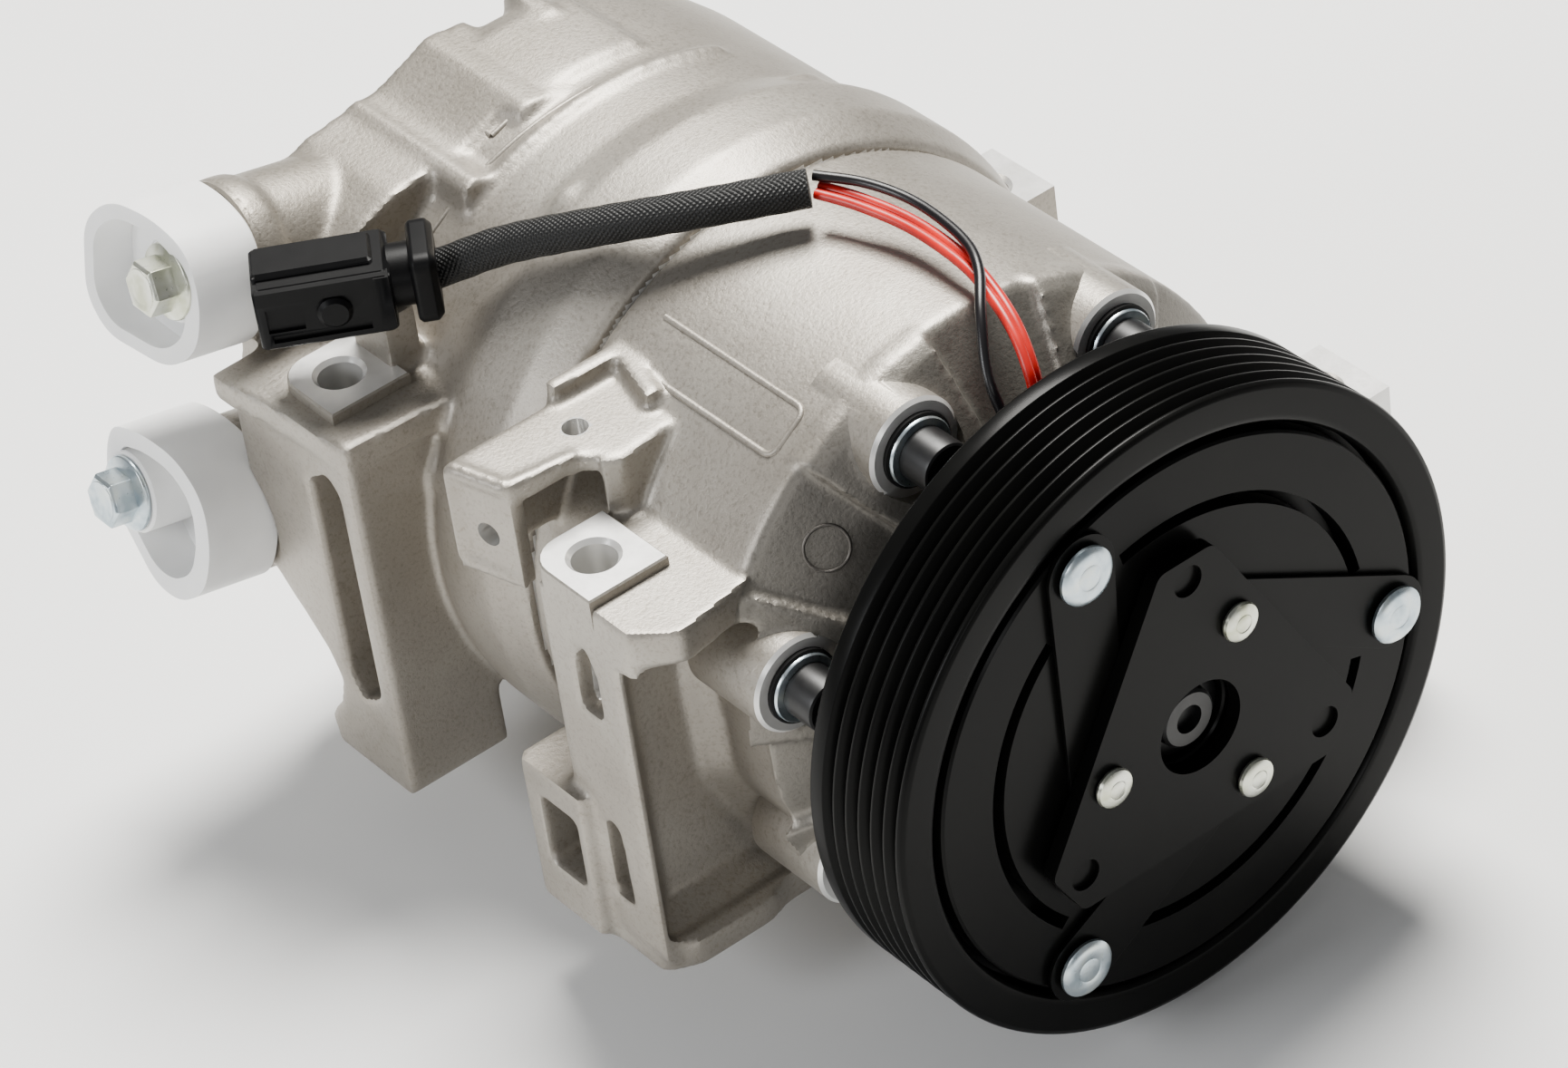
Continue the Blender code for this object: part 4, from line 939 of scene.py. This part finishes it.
def clamp_bolts():
    """Black cap screws with bright washers and a black ring under each."""
    first = ring_angles(BOLTS)[0]
    head = lathe([(0, 37.2), (2.7, 37.2), (2.7, 34.2), (4.9, 33.9), (5.35, 34.2), (5.5, 34.8),
        (5.5, 41.4), (0, 41.4)], 40).placed(Matrix.Translation(polar(BOLT_CIRCLE, first)))
    shank = rod(3.0, polar(BOLT_CIRCLE, first, 41), polar(BOLT_CIRCLE, first, 126), 20)
    bolts = ringed(piece("clamp_bolts", head + shank, None), BOLTS, OXIDE)
    done(bolts, "housing", "black_steel", *[f"through_bolt_{i}" for i in range(1, 8)])
    for name, profile, material, slot in (
            ("clamp_washers", [(5.7, 41.5), (6.9, 41.5), (7.1, 41.8), (7.1, 42.9), (3.4, 42.9),
            (3.4, 41.5)], ZINC, "zinc_plate"),
            ("clamp_dark_rings", [(7.2, 42.1), (7.7, 42.4), (7.7, 43.3), (3.5, 43.3), (3.5, 43.0),
            (7.2, 43.0)], RUBBER, "black_rubber")):
        ring = lathe(profile, 40).placed(Matrix.Translation(polar(BOLT_CIRCLE, first)))
        done(ringed(piece(name, ring, None), BOLTS, material), "housing", slot)


# ---------------------------------------------------------------- clutch

def grooved_pulley():
    rim = [(59.1, 5.5), (59.1, 1.2), (59.8, 0.25), (61, 0), (66.3, 0), (67.2, 0.35), (67.5, 1.0)]
    for i in range(6):
        start = 1.2 + i * 3.56
        rim += [(67.5, start + 0.32), (64.8, start + 1.5), (64.8, start + 2.06),
            (67.5, start + 3.24)]
    rim += [(67.5, 25.6), (66.9, 26.3), (55.0, 26.36), (54.3, 25.8), (54.3, 10.5),
        (29.8, 10.5), (29.8, 26), (25.3, 26), (25.3, 5.5)]
    obj = smooth(piece("grooved_pulley", lathe(rim, 160), BLACK), 28)
    rounded_edges(obj, 0.16, 2, 20)
    smooth(obj, 40)
    done(obj, "pulley", "black_paint", "pulley")
    race = lathe([(22.5, 6.2), (22.9, 6), (24.6, 6), (25, 6.4), (25, 25.6), (24.6, 26),
        (22.9, 26), (22.5, 25.8)], 72)
    done(smooth(piece("outer_race", race, STEEL)), "pulley", "machined_steel",
        "bearing_outer_race")
    race = lathe([(17.5, 6.4), (17.9, 6), (19.7, 6), (20, 6.2), (20, 25.8), (19.7, 26),
        (17.9, 26), (17.5, 25.6)], 72)
    done(smooth(piece("inner_race", race, STEEL)), "housing", "machined_steel",
        "bearing_inner_race")


def field_coil():
    cup = lathe([(17.6, 30.0), (31, 30), (31, 11.3), (31.4, 11.1), (33.6, 11.1), (34, 11.4),
        (34, 30), (50, 30), (50, 11.4), (50.4, 11.1), (53, 11.1), (53.4, 11.5),
        (53.4, 32.4), (52.8, 33.2), (47, 33.2), (42, 37), (17.6, 37)], 96)
    done(smooth(piece("coil_shell", cup, BLACK)), "housing", "black_paint", "coil_cup")


def friction_disc():
    disc = lathe([(27.5, 0.4), (27.9, 0), (57.2, 0), (57.7, 0.5), (57.7, 4.6), (57.3, 5),
        (27.9, 5), (27.5, 4.6)], 144)
    obj = piece("friction_disc", disc, BLACK)
    cuts = []
    for middle in (RIVETS[1] + 63 + 120 * i for i in range(3)):
        arc = [polar(45.8, middle - 47 + 94 * i / 28) for i in range(29)]
        back = [polar(43.2, middle + 47 - 94 * i / 28) for i in range(29)]
        cuts.append(prism([(p[0], p[2]) for p in arc + back], -2, 7, "Y"))
    cuts += [rod(3.3, polar(RIVET_CIRCLE, a, -2), polar(RIVET_CIRCLE, a, 7), 24)
        for a in ring_angles(RIVETS)]
    boolean(obj, "DIFFERENCE", cuts, "EXACT")
    rounded_edges(obj, 0.25, 2, 40)
    done(obj, "armature", "black_paint", "armature")
    rivet = lathe([(0, -3.7), (2.2, -3.72), (2.5, -3.6), (2.8, -3.74), (4.4, -3.7),
        (5.4, -3.45), (5.95, -2.9), (6.0, -2.3), (5.6, -2.0), (3.0, -2.0),
        (3.0, 4.5), (0, 4.5)], 48)
    head = piece("spring_rivets", rivet.placed(
        Matrix.Translation(polar(RIVET_CIRCLE, RIVETS[1]))), None)
    done(ringed(head, RIVETS, ZINC), "armature", "zinc_plate",
        *[f"armature_rivet_{i}" for i in (1, 2, 3)])


def spring_leaves():
    outer, inner = polar(RIVET_CIRCLE, -6.3), polar(HUB_RIVET_CIRCLE, 60.7)
    outline = []
    heading = atan2(inner[2] - outer[2], inner[0] - outer[0])
    for centre, radius, start in ((outer, 7.7, heading + pi / 2),
            (inner, 6.4, heading - pi / 2)):
        outline += [(centre[0] + radius * cos(start + pi * i / 16),
            centre[2] + radius * sin(start + pi * i / 16))
            for i in range(17)]
    leaf = piece("leaf", prism(outline, -1.4, -0.6, "Y"), BLACK)
    boolean(leaf, "DIFFERENCE", [rod(3.3, (outer[0], -4, outer[2]), (outer[0], 3, outer[2]), 24),
        rod(2.6, (inner[0], -4, inner[2]), (inner[0], 3, inner[2]), 24)])
    rounded_edges(leaf, 0.15, 2, 40)
    leaf.name = "spring_leaves"
    grown(leaf, RING, Count=3, Axis=AXIS, Material=BLACK)
    done(leaf, "shaft", "black_paint",
        *[f"leaf_spring_{i}" for i in (1, 2, 3)])


def hub_stack():
    corners = []
    for a in PLATE_CORNERS:
        for side in (-9.3, 9.3):
            p = polar(40.0, a + side)
            corners.append((p[0], p[2]))
    plate = piece("hub_plate_piece", prism(rounded(corners, 1.6, 4), -4.9, -1.7, "Y"), BLACK)
    cuts = [rod(9.8, (0, -8, 0), (0, 2, 0), 64)]
    cuts += [rod(2.6, polar(HUB_RIVET_CIRCLE, a, -8), polar(HUB_RIVET_CIRCLE, a, 2), 24)
        for a in ring_angles(HUB_RIVETS)]
    cuts += [rod(3.3, polar(34.5, a, -8), polar(34.5, a, -3.7), 32) for a in PLATE_CORNERS]
    boolean(plate, "DIFFERENCE", cuts)
    rounded_edges(plate, 0.28, 3, 40)
    done(plate, "shaft", "black_paint", "hub_plate")
    boss = lathe([(9.8, 0.1), (10.2, -0.3), (25, -0.3), (25.5, 0.2), (25.5, 2.1), (12.2, 2.1),
        (12.2, 16), (7.7, 16), (7.7, 2.5), (9.8, 2.5)], 72)
    obj = piece("splined_hub", boss, BLACK)
    boolean(obj, "DIFFERENCE", [
        rod(2.6, polar(HUB_RIVET_CIRCLE, a, -8), polar(HUB_RIVET_CIRCLE, a, 9), 24)
        for a in ring_angles(HUB_RIVETS)])
    done(smooth(obj), "shaft", "black_paint", "hub")
    rivet = lathe([(0, -6.9), (1.6, -6.9), (1.8, -6.78), (2.0, -6.9), (3.2, -6.82), (3.9, -6.4),
        (4.1, -5.8), (3.9, -5.2), (2.3, -5.2), (2.3, 1.5), (0, 1.5)], 40)
    head = piece("hub_rivets", rivet.placed(
        Matrix.Translation(polar(HUB_RIVET_CIRCLE, 60.7))), None)
    done(ringed(head, HUB_RIVETS, STRAW_ZINC), "shaft", "zinc_plate",
        *[f"hub_rivet_{i}" for i in (1, 2, 3)])
    bolt = lathe([(0, 2.2), (9.2, 2.2), (9.2, 1.3), (8.7, 1.0), (6.4, 1.0), (6.2, -1.2),
        (5.6, -1.8), (3.0, -1.8), (3.0, 0.4), (0, 0.4)], 48)
    thread = rod(2.95, (0, 2, 0), (0, 16.5, 0), 20)
    done(smooth(piece("clutch_screw", bolt + thread, OXIDE)), "shaft", "black_steel",
        "clutch_bolt")


# ---------------------------------------------------------------- ports

def flange_bolt(length):
    """Hexagon flange bolt in its own frame: +Z outwards, its seat at zero."""
    flange = lathe([(0, 0), (7.7, 0), (7.9, 0.3), (7.7, 0.9), (5.2, 1.7), (0, 1.9)], 48)
    head = rod(5.75, (0, 0, 1.2), (0, 0, 6.7), hexagon=True, chamfer=(0, 0.55))
    dish = lathe([(0, 6.3), (3.4, 6.75), (4.3, 6.85), (4.3, 5.6), (0, 5.4)], 36)
    shank = rod(2.9, (0, 0, -length), (0, 0, 0.5), 24)
    return flange.placed(AXES["Y"]) + head + dish.placed(AXES["Y"]) + shank


def cap(name, port, outline, front_length, rear_length, well, floor, bolt, seat, duct):
    """Shipping cap: a closed cup on a spout, its mouth cut aslant, with a bolt seat."""
    place = port_place(port)
    body = piece(name, prism(rounded(outline, 12, 8), 0.3, rear_length, "Z", (0.5, 0)).placed(
        place), WHITE)
    slope = (rear_length - front_length) / 34.0
    skew = Matrix(((1, 0, 0, 0), (0, 1, 0, 0), (-slope, 0, 1, 0), (0, 0, 0, 1)))
    above = block((-40, -40, 0), (40, 40, 40)).placed(
        place @ Matrix.Translation((0, 0, (front_length + rear_length) / 2)) @ skew)
    hollow = prism(rounded(well, 9, 8), floor, 60, "Z").placed(place)
    boolean(body, "DIFFERENCE", [above, hollow])
    boolean(body, "UNION", [rod(8.6, (*bolt, 1), (*bolt, seat), 48, (0, 0.5)).placed(place)])
    boolean(body, "DIFFERENCE", [rod(3.3, (*bolt, -2), (*bolt, 60), 32).placed(place)])
    rounded_edges(body, 0.7, 3, 38)
    boolean(body, "UNION", [rod(6.2, (*duct, -12), (*duct, 3), 40, (1, 0)).placed(place)])
    return smooth(body, 40)


def caps():
    round_cup = [(-16, -8), (-10, -14.5), (8, -15), (16, -8), (17, 3), (13, 13), (3, 16.2),
        (-9, 15.5), (-16.5, 8)]
    upper = cap("upper_cap", UPPER_PORT, round_cup, 15.5, 20.5,
        [(x * 0.8 - 0.6, y * 0.8) for x, y in round_cup], 11.0, UPPER_BOLT,
        UPPER_SEAT - 1.4, UPPER_DUCT)
    done(upper, "housing", "white_polyethylene", "upper_port_cap")
    oblong = [(-17, 10), (-15, 15), (-6, 17.4), (6, 17), (15, 11), (17.2, 0), (15, -10),
        (7, -15.5), (-1, -15), (-17, -1)]
    lower = cap("lower_cap", LOWER_PORT, oblong, 17.0, 18.8,
        [(x * 0.76 - 0.4, y * 0.76 + 0.4) for x, y in oblong], 8.0, LOWER_BOLT,
        LOWER_SEAT - 0.2, LOWER_DUCT)
    done(lower, "housing", "white_polyethylene", "lower_port_cap")
    # Painted shade: a thin black sheet on the lower cap's well floor stands for the dark hole
    # there.
    slot = piece("cap_slot_shade", prism(rounded([(7.4, -9), (9.8, -9), (9.8, 1), (7.4, 1)], 1.1, 3),
        7.9, 8.15, "Z").placed(port_place(LOWER_PORT)), RUBBER)
    done(slot, "housing", "black_rubber")
    for name, port, bolt, seat, look, node, length in (
            ("upper_flange_bolt", UPPER_PORT, UPPER_BOLT, UPPER_SEAT - 1.3, STRAW_ZINC,
            "upper_cap_bolt", 29),
            ("lower_flange_bolt", LOWER_PORT, LOWER_BOLT, LOWER_SEAT, ZINC, "lower_cap_bolt",
            31)):
        screw = piece(name, flange_bolt(length).placed(
            port_place(port, bolt) @ Matrix.Translation((0, 0, seat))), look)
        done(rounded_edges(screw, 0.15, 2, 40), "housing", "zinc_plate", node)


def head_valves():
    body = lathe([(0, 168), (6.5, 168), (6.5, 188), (9.1, 188), (9.1, 203.3), (12.2, 203.3),
        (12.5, 203.6), (12.5, 205.8), (12.2, 206.1), (9, 206.4), (8, 207.2),
        (8, 208.6), (7.4, 209), (3, 209), (2.6, 208), (0, 208)], 64)
    done(smooth(piece("control_valve_body", body, STEEL)), "housing", "machined_steel",
        "control_valve")
    seat = Matrix.Translation((31, 0, -20))
    relief = lathe([(0, 189), (5, 189), (5, 203.3), (0, 203.3)], 40).placed(seat)
    nut = rod(8.0, (31, 203.3, -20), (31, 207, -20), hexagon=True, chamfer=(0, 0.5))
    stem = lathe([(0, 206), (4.2, 206), (4.2, 209.4), (3.7, 210), (0, 210)], 40).placed(seat)
    done(smooth(piece("relief_valve_body", relief + nut + stem, ZINC)), "housing",
        "zinc_plate", "relief_valve")


# ---------------------------------------------------------------- lead

SLEEVE_ROUTE = [(-50.6, 146.6, 58.2), (-43, 137, 63.5), (-32, 122, 69.0), (-17, 107, 72.6),
    (-1, 95.5, 74.0)]
RED_ROUTE = [(0.3, 94.6, 73.4), (3.6, 86, 72.9), (6.2, 74, 72.2), (6.2, 60, 71.4),
    (4.6, 50, 70.0), (2.4, 41, 67.0), (0.4, 35, 62), (0, 33, 54.9)]
BLACK_ROUTE = [(0.6, 95.8, 76.0), (6.2, 87, 75.4), (9.2, 76, 74.6), (8.2, 62, 74.2),
    (4.6, 53, 73.6), (-2.0, 45, 70.6), (-6.8, 38.6, 63), (-7.6, 33.6, 54.9)]


def tube(name, route, radius_at, material, sides=36):
    """A round skin along a route, mapped with U round it and V along it in millimetres."""
    corners, faces, maps = [], [], []
    length, up = 0.0, Vector((0, 0, 1))
    for i, point in enumerate(route):
        ahead = route[min(i + 1, len(route) - 1)] - route[max(i - 1, 0)]
        ahead.normalize()
        side = ahead.cross(up).normalized()
        over = side.cross(ahead)
        if i:
            length += (point - route[i - 1]).length
        radius = radius_at(i / (len(route) - 1))
        for k in range(sides):
            turn = tau * k / sides
            corners.append(point + (side * cos(turn) + over * sin(turn)) * radius)
        maps.append(length)
    for i in range(len(route) - 1):
        for k in range(sides):
            n = (k + 1) % sides
            faces.append((i * sides + k, i * sides + n, (i + 1) * sides + n,
                (i + 1) * sides + k))
    faces.append(tuple(reversed(range(sides))))
    faces.append(tuple(range((len(route) - 1) * sides, len(route) * sides)))
    mesh = bpy.data.meshes.new(name)
    mesh.from_pydata([AXIS + c * MM for c in corners], [], faces)
    layer = mesh.uv_layers.new(name="UVMap")
    for face in mesh.polygons:
        for loop in face.loop_indices:
            corner = mesh.loops[loop].vertex_index
            row, k = divmod(corner, sides)
            is_seam = k == 0 and face.index % sides == sides - 1
            if is_seam and face.index < (len(route) - 1) * sides:
                k = sides
            layer.data[loop].uv = (k / sides, maps[row])
    mesh.materials.append(material)
    obj = linked(name, mesh)
    turned_out(mesh)
    return smooth(obj, 50)


def wire(name, route, material):
    """An insulated wire through the knots of a route."""
    return bead(name, smooth_route(route, 1.6), 1.06, False, material, 16, 50)


def lead():
    heading = atan2(17.0, -27.0)
    away = Vector((cos(heading), sin(heading), 0))
    start = Vector(SLEEVE_ROUTE[0])
    centre = start + away * (18 + 2.2)
    centre.z = 50.1 + 7.75
    place = Matrix.Translation(centre) @ Matrix.Rotation(heading, 4, "Z")
    on_end = place @ Matrix.Rotation(radians(90), 4, "Y")
    shell = piece("plug_housing", slab([(-9, -8), (17.6, -8), (17.6, 8), (-9, 8)], 1.6,
        -7.6, 6.4, "Z", (0.8, 1.2)).placed(place), NYLON)
    boolean(shell, "UNION", [
        slab([(-6, -5.2), (17.4, -5.2), (17.4, 4.2), (-6, 4.2)], 1, 5, 7.7, "Z",
        (0, 0.6)).placed(place),
        prism([(-8, 6.6), (17, 6.6), (17, 8.4), (-8, 8.4)], 3.2, 6.2, "Z").placed(place),
        rod(3.4, (2.5, 6, -0.4), (2.5, 9.4, -0.4), 36, (0, 0.8)).placed(place),
        block((-8.6, 6, -6), (-5.6, 8.9, 6)).placed(place)])
    boolean(shell, "DIFFERENCE", [block((-4, 7.2, -5.8), (15, 9.6, -4.2)).placed(place),
        block((8.5, 7.3, -3.4), (15.6, 9.6, 2.0)).placed(place)])
    rounded_edges(shell, 0.35, 2, 40)
    done(shell, "housing", "black_plastic", "connector")
    square = rounded([(-7.7, -8), (7.7, -8), (7.7, 8), (-7.7, 8)], 3)
    collar = prism(square, -17.9, -12.8, "Z", (1.2, 0.8)).placed(on_end)
    done(rounded_edges(piece("plug_collar", collar, NYLON), 0.3, 2, 40), "housing",
        "black_plastic")
    neck = rod(6.2, (-14, 0, 0), (-8.6, 0, 0), 40).placed(place)
    done(smooth(piece("plug_neck", neck, NYLON)), "housing", "black_plastic")

    route = smooth_route(SLEEVE_ROUTE, 1.2)
    lean = (route[0] - route[1]).normalized()
    route = [route[0] + lean * 4.2, route[0] + lean * 2.1] + route
    sleeve = tube("braided_lead", route, lambda t: 3.86 - 0.1 * sin(t * 37) ** 2, BRAID)
    done(sleeve, "housing", "braided_sleeve", "harness_sleeve")
    side = Vector((0.93, 0.55, 0.1))
    for name, shift in (("red_wire_1", -side), ("red_wire_2", side)):
        lead_wire = wire(f"red_lead_{name[-1]}", [Vector(k) + shift for k in RED_ROUTE],
            RED)
        done(lead_wire, "housing", "red_insulation", name)
    done(wire("black_lead", BLACK_ROUTE, DARK_PVC), "housing", "black_insulation",
        "black_wire")


# ---------------------------------------------------------------- inner nodes, stage

INNER = {
    "cylinder_block": CAST, "suction_reed": STEEL, "valve_plate": STEEL,
    "discharge_reed": STEEL, "head_gasket": BLACK, "body_o_ring": RUBBER, "shaft_seal": RUBBER,
    "coil_winding": COPPER, "front_needle_bearing": STEEL, "rear_needle_bearing": STEEL,
    "thrust_bearing": STEEL, "shaft": STEEL, "lug_plate": STEEL, "swash_plate": STEEL,
    "swash_sleeve": STEEL, "destroke_spring": STEEL,
    }


def dress_inner_nodes():
    for name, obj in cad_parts.items():
        look = INNER.get(name, MILLED if name.startswith("piston") else None)
        if look is not None:
            for slot in obj.material_slots:
                slot.material = look


def studio():
    """Pale sweep, soft lights and the camera."""
    a, e, roll = radians(-33.61), radians(38.35), radians(-8.447)
    back = Vector((sin(a) * cos(e), -cos(a) * cos(e), sin(e)))
    right0 = Vector((cos(a), sin(a), 0))
    up0 = back.cross(right0)
    right = cos(roll) * right0 + sin(roll) * up0
    up = -sin(roll) * right0 + cos(roll) * up0
    camera = bpy.data.cameras.new("camera")
    camera.lens = 135.3
    camera.sensor_width = 36
    camera.clip_end = 20
    holder = linked("camera", camera)
    turn = Matrix((right, up, back)).transposed().to_4x4()
    turn.translation = AXIS + Vector((-512.9, -649.2, 708.2)) * MM
    holder.matrix_world = turn
    bpy.context.scene.camera = holder

    floor = bpy.data.meshes.new("floor")
    size = 6.0
    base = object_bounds()[0][2]
    floor.from_pydata([(-size, -size, base), (size, -size, base), (size, size, base),
        (-size, size, base)], [], [(0, 1, 2, 3)])
    floor.materials.append(floor_paper())
    ground = linked("floor", floor)
    ground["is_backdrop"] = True

    world = bpy.data.worlds.new("studio")
    world.use_nodes = True
    world.node_tree.nodes["Background"].inputs["Color"].default_value = linear("F6F8FB")
    world.node_tree.nodes["Background"].inputs["Strength"].default_value = 0.2
    bpy.context.scene.world = world

    def lamp(name, place, aim, size, power, colour):
        light = bpy.data.lights.new(name, "AREA")
        light.shape = "DISK"
        light.size = size
        light.energy = power
        light.color = linear(colour)[:3]
        obj = linked(name, light)
        place, aim = AXIS + Vector(place) * MM, AXIS + Vector(aim) * MM
        obj.matrix_world = (Matrix.Translation(place)
            @ (place - aim).to_track_quat("Z", "Y").to_matrix().to_4x4())

    lamp("key", (300, 420, 1050), (0, 90, 0), 0.55, 43, "FFFDF8")
    lamp("left", (-1150, 260, 520), (-30, 100, 0), 0.5, 8, "FAFCFF")
    lamp("front", (-700, -1000, 500), (0, 40, 0), 0.35, 2.6, "FFFFFF")


front_casing()
rear_casing()
clamp_bolts()
grooved_pulley()
field_coil()
friction_disc()
spring_leaves()
hub_stack()
caps()
head_valves()
lead()
dress_inner_nodes()
studio()
